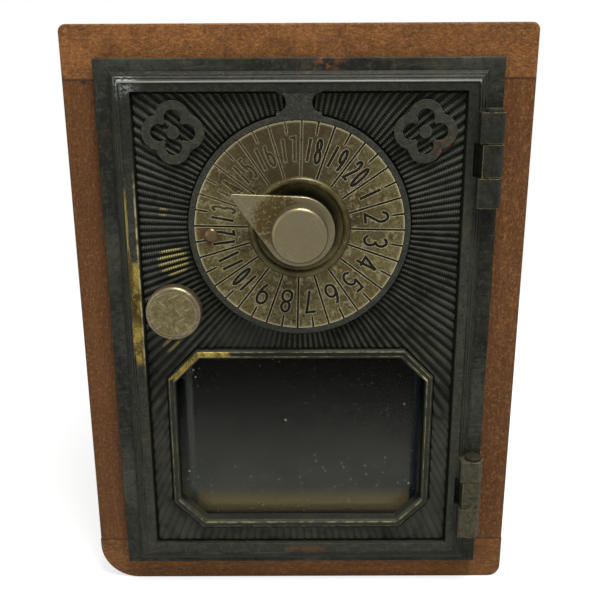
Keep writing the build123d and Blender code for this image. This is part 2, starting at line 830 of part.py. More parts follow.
with BuildPart() as dial_cup_nut:
    with BuildSketch(front(plate_back - cup_nut_height)):
        with Locations(dial_place):
            RegularPolygon(cup_nut_radius, 6)
            Circle(cup_shank_radius, mode=Mode.SUBTRACT)
    extrude(amount=cup_nut_height - glue_line)
keep(dial_cup_nut, "dial_cup_nut")

with BuildPart() as dial_rivet:
    with BuildSketch(front(plate_back)):
        with Locations(rivet_place):
            Circle(rivet_shank_radius)
    extrude(amount=dial_front - plate_back)
    with BuildSketch(front(dial_front + glue_line)):
        with Locations(rivet_place):
            Circle(rivet_head_radius)
    extrude(amount=rivet_head_height)
    fillet(dial_rivet.faces().sort_by(Axis.Y)[0].edges(), rivet_head_round)
    with BuildSketch(front(dial_front)):
        with Locations(rivet_place):
            Circle(rivet_shank_radius)
    extrude(amount=glue_line)
keep(dial_rivet, "dial_rivet")

# ---- what the hand turns: pointer, knob and spindle, with the drive cam inside ----
with BuildPart() as pointer:
    tip_reach = pointer_length - pointer_tip_radius
    lean = acos((pointer_radius - pointer_tip_radius) / tip_reach)
    aim = radians(90 + pointer_angle)
    with BuildSketch(front(pointer_back)):
        with Locations(dial_place):
            Circle(pointer_radius)
            with PolarLocations(tip_reach, 1, degrees(aim)):
                Circle(pointer_tip_radius)
            Polygon(
                (pointer_radius * cos(aim + lean), pointer_radius * sin(aim + lean)),
                (
                    tip_reach * cos(aim) + pointer_tip_radius * cos(aim + lean),
                    tip_reach * sin(aim) + pointer_tip_radius * sin(aim + lean),
                ),
                (
                    tip_reach * cos(aim) + pointer_tip_radius * cos(aim - lean),
                    tip_reach * sin(aim) + pointer_tip_radius * sin(aim - lean),
                ),
                (pointer_radius * cos(aim - lean), pointer_radius * sin(aim - lean)),
                align=None,
            )
    extrude(amount=pointer_thickness)
    fillet(pointer.faces().sort_by(Axis.Y)[0].edges(), pointer_edge_round)
    with BuildSketch(front(floor_front + pointer_hub_clear)):
        with Locations(dial_place):
            Circle(pointer_hub_radius)
    extrude(amount=pointer_back - floor_front - pointer_hub_clear)
    with BuildSketch(front(floor_front)):
        with Locations(dial_place):
            Circle(spindle_radius)
    extrude(amount=pointer_front - floor_front, mode=Mode.SUBTRACT)
keep(pointer, "pointer")

with BuildPart() as dial_knob:
    with BuildSketch(front(pointer_front + glue_line)):
        with Locations(dial_place):
            Circle(dial_knob_radius)
    extrude(amount=dial_knob_height)
    fillet(dial_knob.faces().sort_by(Axis.Y)[0].edges(), knob_edge_round)
    with BuildSketch(front(pointer_front)):
        with Locations(dial_place):
            Circle(spindle_radius)
    extrude(amount=spindle_in_knob, mode=Mode.SUBTRACT)
keep(dial_knob, "dial_knob")

with BuildPart() as dial_spindle:
    with BuildSketch(front(spindle_back)):
        with Locations(dial_place):
            Circle(spindle_radius)
    extrude(amount=spindle_front - spindle_back)
keep(dial_spindle, "dial_spindle")

with BuildPart() as drive_cam:
    add(disc(*dial_place, drive_cam_front, drive_cam_radius, drive_cam_thickness, spindle_radius))
    with BuildSketch(front(drive_cam_front)):
        with Locations(dial_place):
            with PolarLocations(drive_lug_circle, 1):
                Circle(drive_lug_radius)
    extrude(amount=drive_lug_height)
keep(drive_cam, "drive_cam")

with BuildPart() as spindle_collar:
    add(disc(*dial_place, lock_plate_back - stack_gap, collar_radius, collar_thickness, spindle_radius))
keep(spindle_collar, "spindle_collar")

# ---- combination wheels with thin washers between them ----
for name, wheel_front in zip(("wheel_front", "wheel_middle", "wheel_rear"), wheel_fronts):
    with BuildPart() as wheel:
        with BuildSketch(front(wheel_front - wheel_thickness)):
            with Locations(dial_place):
                Circle(wheel_radius)
                Circle(spindle_radius + running_fit, mode=Mode.SUBTRACT)
                with PolarLocations(wheel_hole_circle, wheel_hole_count):
                    Circle(wheel_hole_radius, mode=Mode.SUBTRACT)
                with PolarLocations(wheel_radius, 1, wheel_gate_angle):
                    Rectangle(2 * wheel_gate_depth, wheel_gate_width, mode=Mode.SUBTRACT)
        extrude(amount=wheel_thickness)
    keep(wheel, name)

with BuildPart() as wheel_washers:
    for wheel_front in wheel_fronts:
        washer_front = wheel_front + stack_gap + washer_thickness
        washer_bore = spindle_radius + running_fit
        add(disc(*dial_place, washer_front, washer_radius, washer_thickness, washer_bore))
keep(wheel_washers, "wheel_washers")

# ---- lock frame behind the door: four pillars and a back plate ----
with BuildPart() as lock_pillars:
    with BuildSketch(front(lock_plate_front)):
        with Locations(*pillar_places):
            Circle(pillar_radius)
            Circle(machine_screw_radius, mode=Mode.SUBTRACT)
    extrude(amount=plate_back - lock_plate_front)
keep(lock_pillars, "lock_pillars")

with BuildPart() as lock_plate:
    with BuildSketch(front(lock_plate_back)):
        with Locations(*pillar_places):
            Circle(pillar_inset)
        with Locations(fence_pivot_place):
            Circle(fence_pivot_radius + fence_pivot_margin)
        make_hull()
        with Locations(dial_place):
            Circle(spindle_radius + running_fit, mode=Mode.SUBTRACT)
        with Locations(*pillar_places):
            Circle(machine_screw_radius, mode=Mode.SUBTRACT)
    extrude(amount=lock_plate_thickness)
keep(lock_plate, "lock_plate")

with BuildPart() as lock_plate_screws:
    for x, z in pillar_places:
        plane = Plane(origin=(x, -face_y - lock_plate_back, z), x_dir=(1, 0, 0), z_dir=(0, -1, 0))
        with Locations(plane):
            add(slotted_screw(lock_screw_length, *machine_head, *machine_slot))
keep(lock_plate_screws, "lock_plate_screws")

# ---- fence lever, its pivot post and return spring ----
with BuildPart() as fence_pivot:
    with BuildSketch(front(lock_plate_front)):
        with Locations(fence_pivot_place):
            Circle(fence_pivot_radius)
    extrude(amount=plate_back - lock_plate_front)
keep(fence_pivot, "fence_pivot")

with BuildPart() as fence_lever:
    pivot_x, pivot_z = fence_pivot_place
    nose_x, nose_z = fence_nose_place
    tail_end = (
        pivot_x + fence_tail_length * cos(fence_tail_direction),
        pivot_z + fence_tail_length * sin(fence_tail_direction),
    )
    with BuildSketch(front(lock_plate_front + fence_side_gap)):
        with Locations(fence_pivot_place):
            Circle(fence_hub_radius)
    extrude(amount=wheel_fronts[0] - lock_plate_front)
    with BuildSketch(front(wheel_fronts[1] - fence_arm_thickness)):
        for end in (fence_nose_place, tail_end):
            arm_length = hypot(end[0] - pivot_x, end[1] - pivot_z)
            with Locations(((pivot_x + end[0]) / 2, (pivot_z + end[1]) / 2)):
                tilt = degrees(atan2(end[1] - pivot_z, end[0] - pivot_x))
                SlotCenterToCenter(arm_length, fence_arm_width, rotation=tilt)
    extrude(amount=fence_arm_thickness)
    with BuildSketch(front(wheels_back)):
        with Locations(fence_nose_place):
            Rectangle(fence_nose_depth, fence_nose_width, rotation=degrees(latch_angle))
    extrude(amount=wheel_fronts[0] - wheels_back)
    with BuildSketch(front(lock_plate_front)):
        with Locations(fence_pivot_place):
            Circle(fence_pivot_radius + running_fit)
    extrude(amount=plate_back - lock_plate_front, mode=Mode.SUBTRACT)
    with BuildSketch(front(lock_plate_front)):
        with Locations(dial_place):
            Circle(wheel_radius + fence_rim_gap)
    extrude(amount=plate_back - lock_plate_front, mode=Mode.SUBTRACT)
keep(fence_lever, "fence_lever")

# ---- turn latch: knob, spindle, tongue that swings behind the frame's lip, cam, nut ----
with BuildPart() as latch_knob:
    head_back = field_front + latch_knob_lift
    with BuildSketch(front(field_front + latch_washer_thickness + 2 * glue_line)):
        with Locations(latch_place):
            Circle(latch_neck_radius)
    extrude(amount=head_back - field_front - latch_washer_thickness - 2 * glue_line)
    with BuildSketch(front(head_back)):
        with Locations(latch_place):
            Circle(latch_knob_radius)
    extrude(amount=latch_knob_thickness)
    fillet(latch_knob.faces().sort_by(Axis.Y)[0].edges(), knob_edge_round)
    with BuildSketch(front(head_back + latch_knob_thickness - latch_ring_depth)):
        with Locations(latch_place):
            Circle(latch_ring_radius + latch_ring_width / 2)
            Circle(latch_ring_radius - latch_ring_width / 2, mode=Mode.SUBTRACT)
    extrude(amount=latch_ring_depth, mode=Mode.SUBTRACT)
    with BuildSketch(front(field_front)):
        with Locations(latch_place):
            Circle(spindle_radius)
    extrude(amount=latch_knob_lift + latch_knob_thickness / 2, mode=Mode.SUBTRACT)
keep(latch_knob, "latch_knob")

with BuildPart() as latch_spindle:
    latch_spindle_front = field_front + latch_knob_lift + latch_knob_thickness / 2
    latch_spindle_back = latch_cam_back - latch_nut_height - latch_end_play
    with BuildSketch(front(latch_spindle_back)):
        with Locations(latch_place):
            Circle(spindle_radius)
    extrude(amount=latch_spindle_front - latch_spindle_back)
keep(latch_spindle, "latch_spindle")

with BuildPart() as latch_tongue:
    with BuildSketch(front(tongue_back)):
        with Locations(latch_place):
            Circle(tongue_hub_radius)
        with Locations((latch_x, latch_height + (tongue_length - tongue_width / 2) / 2)):
            SlotCenterToCenter(tongue_length - tongue_width / 2, tongue_width, rotation=90)
        with Locations(latch_place):
            Circle(spindle_radius, mode=Mode.SUBTRACT)
    extrude(amount=tongue_thickness)
keep(latch_tongue, "latch_tongue")

with BuildPart() as latch_cam:
    with BuildSketch(front(latch_cam_back)):
        with Locations(latch_place):
            Circle(latch_cam_radius)
            with PolarLocations(latch_cam_radius, 1, degrees(latch_angle) + 180):
                Rectangle(latch_cam_notch, latch_cam_notch, mode=Mode.SUBTRACT)
            Circle(spindle_radius, mode=Mode.SUBTRACT)
    extrude(amount=latch_cam_thickness)
    with BuildSketch(front(latch_cam_back + latch_cam_thickness)):
        with Locations(latch_place):
            Circle(latch_cam_sleeve_radius)
            Circle(spindle_radius, mode=Mode.SUBTRACT)
    extrude(amount=latch_cam_sleeve_length - glue_line)
keep(latch_cam, "latch_cam")

with BuildPart() as latch_nut:
    with BuildSketch(front(latch_cam_back - latch_nut_height)):
        with Locations(latch_place):
            RegularPolygon(latch_nut_radius, 6)
            Circle(spindle_radius, mode=Mode.SUBTRACT)
    extrude(amount=latch_nut_height - glue_line)
keep(latch_nut, "latch_nut")

with BuildPart() as latch_washer:
    washer_front = field_front + glue_line + latch_washer_thickness
    washer_bore = spindle_radius + running_fit
    add(disc(*latch_place, washer_front, latch_washer_radius, latch_washer_thickness, washer_bore))
keep(latch_washer, "latch_washer")

with BuildPart() as fence_spring:
    spring_radius = fence_pivot_radius + spring_coil_gap + spring_wire_radius
    coil_back = wheel_fronts[0] + fence_side_gap + spring_wire_radius + spring_coil_gap
    spring_front = coil_back + spring_pitch * spring_turns
    pivot_x, pivot_z = fence_pivot_place
    with BuildLine() as coil_path:
        coil = Helix(
            pitch=spring_pitch,
            height=spring_pitch * spring_turns,
            radius=spring_radius,
            center=(pivot_x, -face_y - spring_front, pivot_z),
            direction=(0, 1, 0),
        )
    with BuildSketch(Plane(origin=coil @ 0, z_dir=coil % 0)):
        Circle(spring_wire_radius)
    sweep(path=coil_path.line)
    for end, outward in ((0, -1), (1, 1)):
        with BuildSketch(Plane(origin=coil @ end, z_dir=outward * (coil % end))):
            Circle(spring_wire_radius)
        extrude(amount=spring_leg)
keep(fence_spring, "fence_spring")
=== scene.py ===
"""Savings box with a post office box door: its finishes and fine relief, laid over the fixed frame."""

from math import cos, hypot, pi, radians, sin

import bmesh
import bpy
import numpy as np
from bpy.props import FloatProperty, FloatVectorProperty, IntProperty, PointerProperty
from bpy.types import Operator, Panel, PropertyGroup
from mathutils import Matrix, Vector


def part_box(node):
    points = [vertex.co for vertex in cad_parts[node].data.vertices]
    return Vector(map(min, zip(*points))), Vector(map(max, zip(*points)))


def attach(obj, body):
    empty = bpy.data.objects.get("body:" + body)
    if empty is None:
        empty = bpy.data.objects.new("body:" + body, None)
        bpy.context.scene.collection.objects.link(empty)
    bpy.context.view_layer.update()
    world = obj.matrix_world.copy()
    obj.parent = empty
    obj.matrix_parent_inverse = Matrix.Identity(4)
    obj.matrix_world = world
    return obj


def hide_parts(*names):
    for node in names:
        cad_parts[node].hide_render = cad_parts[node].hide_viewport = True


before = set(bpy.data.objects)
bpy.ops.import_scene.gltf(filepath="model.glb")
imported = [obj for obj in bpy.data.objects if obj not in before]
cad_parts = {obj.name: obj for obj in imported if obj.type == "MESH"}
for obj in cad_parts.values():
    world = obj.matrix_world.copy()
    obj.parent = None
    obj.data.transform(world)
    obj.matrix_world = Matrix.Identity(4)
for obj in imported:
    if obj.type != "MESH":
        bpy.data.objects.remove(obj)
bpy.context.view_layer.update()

bl_info = {
    "name": "Post Office Box Door Bank",
    "version": (1, 0, 0),
    "blender": (4, 5, 0),
    "location": "3D Viewport > Sidebar > Box Door",
    "description": "Finishes, sunburst relief, dial numbers and studio for a small box with a cast door",
    "category": "Object",
}

MM = 0.001
NUMBERS = 20           # numbers round the dial
CUT_FRONT = -1.0       # cutters start this far in front of the dial, in millimetres
RELIEF_DEPTH = 0.3     # how far the sunburst's sheet goes back, in millimetres
ROOT_TWO = 2 ** 0.5
MIX_FACTOR, MIX_UNDER, MIX_OVER, MIX_RESULT = 0, 6, 7, 2     # sockets of a Mix node that mixes colours

# ---- places taken from the frame, in millimetres: x across, z up, out in front of the wood ----
WOOD_FACE_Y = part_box("left_board")[0].y
DIAL_LOW, DIAL_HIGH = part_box("dial_plate")
CUP_LOW, CUP_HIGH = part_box("dial_cup")
DOOR_LOW, DOOR_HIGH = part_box("door_casting")
LATCH_LOW, LATCH_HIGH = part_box("latch_knob")
GLASS_LOW, GLASS_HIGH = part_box("window_glass")
LID_LOW, LID_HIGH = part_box("top_board")


def out_of(y):
    """Millimetres in front of the wood's face for a world y."""
    return (WOOD_FACE_Y - y) / MM


DIAL_X = (DIAL_LOW.x + DIAL_HIGH.x) / 2 / MM
DIAL_Z = (DIAL_LOW.z + DIAL_HIGH.z) / 2 / MM
DIAL_RADIUS = (DIAL_HIGH.x - DIAL_LOW.x) / 2 / MM
DIAL_FRONT = out_of(DIAL_LOW.y)
FIELD_FRONT = out_of(DIAL_HIGH.y)
RIM_OVER_FIELD = 2.0
DOOR_RIM_FRONT = FIELD_FRONT + RIM_OVER_FIELD
CUP_RADIUS = (CUP_HIGH.x - CUP_LOW.x) / 2 / MM
LATCH_X = (LATCH_LOW.x + LATCH_HIGH.x) / 2 / MM
LATCH_Z = (LATCH_LOW.z + LATCH_HIGH.z) / 2 / MM
WEAR_BELOW_LATCH = 1.6
RIM_WEAR_Z = LATCH_Z - WEAR_BELOW_LATCH
DOOR_LEFT = DOOR_LOW.x / MM
DOOR_TOP = DOOR_HIGH.z / MM
DOOR_BOTTOM = DOOR_LOW.z / MM
WINDOW_Z = (GLASS_LOW.z + GLASS_HIGH.z) / 2 / MM
BASE_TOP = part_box("bottom_board")[1].z / MM
LID_UNDERSIDE = LID_LOW.z / MM
HALF_WIDTH = LID_HIGH.x / MM


def linear(red, green, blue):
    """A colour written as the eye sees it, 0 to 255, as the light values that shaders use."""
    def channel(value):
        share = value / 255
        return share / 12.92 if share <= 0.04045 else ((share + 0.055) / 1.055) ** 2.4
    return channel(red), channel(green), channel(blue)


# ---- tones that lie on the main colours in small amounts, some of them painted light and shade ----
WHITE = (1.0, 1.0, 1.0)
# black painted as shade in the bottom of the dial's cup
CUP_PAINTED_SHADE = linear(15, 16, 11)
METAL_SPECK = linear(120, 120, 104)
WOOD_GLINT = linear(150, 106, 62)
WOOD_DASH = linear(158, 112, 66)
WOOD_SCUFF = linear(168, 136, 104)
BASE_PALE = linear(104, 68, 30)
BASE_DEEP = linear(70, 42, 16)
PATINA_WARM = linear(48, 42, 22)
PATINA_LINE = linear(104, 106, 92)
BRASS_DULL = linear(70, 56, 20)
BRASS_BRIGHT = linear(178, 166, 108)
BRASS_TARNISH = linear(48, 36, 12)
BRASS_SPOT = linear(148, 140, 108)
BRASS_EDGE = linear(176, 168, 132)
LINE_BRASS = linear(150, 142, 100)
SCUFF_SILVER = linear(126, 130, 124)
# silvery wear and painted highlight on the top of the rim's inner bead
BEAD_SHINE_AND_WEAR = linear(150, 153, 144)
HINGE_BRASS = linear(78, 70, 44)
HINGE_EDGE = linear(128, 118, 76)
ORNAMENT_RED = linear(74, 42, 24)
FOOT_RED = linear(76, 44, 26)
TOP_RED = linear(84, 50, 32)
RIDGE_WARM = linear(38, 35, 15)
RIDGE_GOLD_DARK = linear(60, 52, 18)
RIDGE_GOLD = linear(150, 138, 84)
CUP_BRASS = linear(76, 70, 40)
RIVET_BRASS = linear(78, 64, 38)
RIVET_STAIN = linear(34, 27, 14)
DIAL_PALE = linear(124, 118, 88)
DIAL_BROWN = linear(76, 56, 28)
DIAL_SCRATCH = linear(150, 142, 104)
DIAL_SPOT = linear(36, 30, 14)
DIAL_TOP = linear(46, 39, 22)
DIAL_RUST = linear(56, 42, 20)
DIAL_RIM = linear(150, 142, 112)
# pale outlines on the dial's edges: burrs and painted highlight
DIAL_BURR_AND_HIGHLIGHT = linear(172, 164, 128)
NICKEL_DULL = linear(102, 94, 68)
NICKEL_HANDLED = linear(84, 74, 40)
NICKEL_LINE = linear(60, 50, 26)
NICKEL_SCRATCH = linear(162, 152, 122)
# a painted highlight on the nickel's edges
NICKEL_PAINTED_HIGHLIGHT = linear(184, 176, 150)
RETAINER_BRASS = linear(34, 30, 20)
LOCK_STAIN = linear(58, 44, 24)
LOCK_TURNED = linear(196, 184, 150)
LOCK_EDGE = linear(206, 196, 164)
# painted light and shade that the window glass carries
GLASS_PAINTED_SHADE = linear(6, 5, 4)
GLASS_PAINTED_FLOOR_LIGHT = linear(74, 67, 45)
GLASS_LEFT_PAINTED_LIGHT = linear(52, 55, 52)
GLASS_RIGHT_PAINTED_SHADE = linear(18, 24, 28)
GLASS_DUST = linear(112, 110, 98)


def colour(name, description, red, green, blue):
    """A colour that the user can change, with its default."""
    return FloatVectorProperty(
        name=name, description=description, subtype="COLOR", size=3, min=0, max=1,
        default=linear(red, green, blue),
    )


def length(name, description, millimetres):
    """A length that the user can change, in millimetres."""
    return FloatProperty(name=name, description=description + " (mm)", default=millimetres)


def angle(name, description, degrees):
    """An angle that the user can change."""
    return FloatProperty(name=name, description=description, default=radians(degrees), subtype="ANGLE")


def power(name, description, watts):
    """A lamp's power that the user can change."""
    return FloatProperty(name=name, description=description, default=watts, unit="POWER")


class BoxDoorSizes(PropertyGroup):
    """Sizes of the fine relief that is laid over the casting and the dial."""

    ridge_count: IntProperty(name="Ridges", description="Ridges in the sunburst round the dial", default=140)
    ridge_rise: length("Ridge rise", "How far a ridge stands above its valley", 0.72)
    split_base: length("Split valleys", "Height of the valleys where ridges are split", 0.28)
    ridge_split: length("Split radius", "Distance from the dial at which each ridge becomes two", 62.0)
    bead_pitch: length("Bead pitch", "Spacing of the beads along a ridge", 0.58)
    ridge_step: length("Ridge step", "Spacing of the mesh's rings along a ridge", 0.25)
    ridge_samples: IntProperty(name="Ridge samples", description="Mesh columns across a ridge", default=8)
    sink: length("Sink", "How deep the relief's edge goes into the field", 0.08)
    latch_clear: length("Latch clearance", "Radius left clear round the latch's neck", 4.6)
    bevel: length("Bevel", "Width of the bevel round the door", 2.3)
    bevel_rise: length("Bevel rise", "Height of that bevel", 1.5)
    fine_bead: length("Fine bead", "Radius of the fine beads on the bevel", 0.13)
    rim_bead: length("Rim bead", "Radius of the bead between bevel and rim", 0.22)
    field_side: length("Field side", "From the door's side to the recessed field", 4.75)
    field_top: length("Field top", "From the door's top to the recessed field", 4.5)
    field_bottom: length("Field bottom", "From the door's bottom to the recessed field", 5.2)
    ring_width: length("Dial ring", "Outside edge of the plain ring, from the dial's edge", 1.45)
    bridge_half: length("Bridge", "Half the width of the plain bridge over the dial", 3.0)
    bridge_flare: length("Bridge flare", "Radius of the hollow corners of the bridge", 2.3)
    bezel_width: length("Bezel width", "Width of the window's raised bezel", 68.0)
    bezel_tall: length("Bezel height", "Height of the window's raised bezel", 50.9)
    bezel_corner: length("Bezel corner", "Size of the bezel's cut corners", 7.5)
    bezel_inner_width: length("Bezel opening width", "Width inside the bezel", 64.2)
    bezel_inner_tall: length("Bezel opening height", "Height inside the bezel", 46.5)
    bezel_inner_corner: length("Bezel opening corner", "Size of the cut corners inside the bezel", 6.6)
    numeral_height: length("Numeral height", "Height of the numbers on the dial", 6.2)
    numeral_radius: length("Numeral circle", "Radius of the circle that the numbers stand on", 18.7)
    figure_width: length("Figure width", "Width of a single figure", 3.1)
    pair_width: length("Pair width", "Width of one figure of two", 1.85)
    figure_gap: length("Figure gap", "Gap between two figures", 0.42)
    stroke: length("Stroke", "Width of an engraved stroke", 0.72)
    dial_line: length("Dial line", "Width of the engraved lines", 0.50)
    engraving: length("Engraving depth", "Depth of the engraved numbers", 0.2)
    first_number: angle("First number", "Angle of the first number, clockwise from the top", 64.4)


class BoxDoorColours(PropertyGroup):
    """Colours of the finishes."""

    wood_pale: colour("Pale wood", "Light bands of the lid", 122, 80, 40)
    wood_deep: colour("Deep wood", "Dark bands of the boards", 68, 40, 15)
    wood_red: colour("Red wood", "Light bands of the side boards", 88, 56, 28)
    wood_pore: colour("Wood pores", "Open pores and flecks in the boards", 44, 26, 14)
    # Also laid in the recesses and in the sunburst's valleys as painted shade, besides dirt.
    dark_patina_and_shade: colour("Dark patina", "Dirt in the hollows of the cast brass", 10, 11, 8)
    patina: colour("Patina", "Usual tone of the blackened cast brass", 19, 21, 15)
    patina_dust: colour("Dusty patina", "Pale dust and handling on the cast brass", 47, 49, 41)
    rubbed: colour("Rubbed edges", "Edges where the black is thin", 76, 78, 67)
    bare_brass: colour("Bare brass", "Brass where the black has worn away", 128, 110, 48)
    dial_brass: colour("Dial brass", "Aged brass of the dial", 86, 79, 50)
    dial_stain: colour("Dial stain", "Brown stain on the dial", 44, 36, 13)
    ink: colour("Black filling", "Black wax in the dial's engraving", 9, 8, 6)
    nickel: colour("Nickel", "Worn nickel plate", 104, 96, 73)
    nickel_stain: colour("Nickel stain", "Dull spots and corrosion on the nickel", 68, 56, 28)
    turned_brass: colour("Turned brass", "Lock parts inside the door", 150, 120, 66)
    steel: colour("Steel", "Screws, spindles and springs", 110, 108, 102)
    # The film also stands for the painted light of the inside, laid thicker downwards.
    glass: colour("Glass dust", "Grey film on the window glass", 54, 55, 50)
    floor: colour("Floor", "Floor and backdrop", 244, 244, 243)


class BoxDoorStudio(PropertyGroup):
    """Camera and lamps."""

    lens: FloatProperty(name="Lens", description="Focal length", unit="CAMERA", default=47.69)
    pitch: angle("Pitch", "Camera's tilt down", 16.5)
    yaw: angle("Yaw", "Camera's turn to the left", 0.138)
    roll: angle("Roll", "Camera's roll", -0.256)
    camera_x: length("Camera across", "Camera's place across the box", 0.47)
    camera_y: length("Camera back", "Camera's place in front of the box", -244.04)
    camera_z: length("Camera height", "Camera's place above the floor", 138.56)
    key: power("Key lamp", "Power of the soft lamp above", 7.5)
    fill: power("Fill lamp", "Power of the second soft lamp", 1.0)
    rear: power("Rear lamp", "Power of the soft lamp behind", 6.0)
    ambient: FloatProperty(name="Ambient", description="Strength of the light from all round", default=0.24)


class Value:
    """A number, colour or direction that varies over a surface. Arithmetic on it adds Math nodes."""

    def __init__(self, finish, socket):
        self.finish = finish
        self.socket = socket

    def math(self, operation, *terms):
        return self.finish.add("ShaderNodeMath", {"operation": operation}, dict(enumerate(terms)))

    def __add__(self, other):
        return self.math("ADD", self, other)

    def __radd__(self, other):
        return self.math("ADD", other, self)

    def __sub__(self, other):
        return self.math("SUBTRACT", self, other)

    def __rsub__(self, other):
        return self.math("SUBTRACT", other, self)

    def __mul__(self, other):
        return self.math("MULTIPLY", self, other)

    def __rmul__(self, other):
        return self.math("MULTIPLY", other, self)

    def __truediv__(self, other):
        return self.math("DIVIDE", self, other)

    def __rtruediv__(self, other):
        return self.math("DIVIDE", other, self)

    def __pow__(self, other):
        return self.math("POWER", self, other)

    def __abs__(self):
        return self.math("ABSOLUTE", self)

    def rise(self, low, high):
        """0 below low, 1 above high, and a smooth rise between; low above high gives a fall."""
        if low < high:
            ends = {"From Min": low, "From Max": high, "To Min": 0.0, "To Max": 1.0}
        else:
            ends = {"From Min": high, "From Max": low, "To Min": 1.0, "To Max": 0.0}
        return self.finish.add(
            "ShaderNodeMapRange", {"interpolation_type": "SMOOTHSTEP"}, {"Value": self, **ends}
        )

    def band(self, middle, half, soft):
        """1 within half of middle, fading to 0 over soft."""
        return abs(self - middle).rise(half + soft, half)

    def whole(self):
        return self.math("FLOOR", self)

    def sine(self):
        return self.math("SINE", self)

    def at_most(self, other):
        return self.math("MINIMUM", self, other)

    def at_least(self, other):
        return self.math("MAXIMUM", self, other)


class Nodes:
    """The node tree of a material or of the world, emptied and filled again."""

    def __init__(self, tree):
        self.tree = tree
        tree.nodes.clear()

    def add(self, kind, settings=None, inputs=None, output=0):
        """Adds a node: its settings first, then the values or links of its sockets."""
        node = self.tree.nodes.new(kind)
        for name, value in (settings or {}).items():
            setattr(node, name, value)
        for name, value in (inputs or {}).items():
            socket = node.inputs[name]
            if isinstance(value, Value):
                self.tree.links.new(value.socket, socket)
            elif socket.type == "RGBA" and len(value) == 3:
                socket.default_value = (*value, 1.0)
            else:
                socket.default_value = value
        return Value(self, node.outputs[output])

    def close(self, shader, kind="ShaderNodeOutputMaterial"):
        """Links a shader to the output."""
        node = self.tree.nodes.new(kind)
        self.tree.links.new(shader.socket, node.inputs["Surface"])


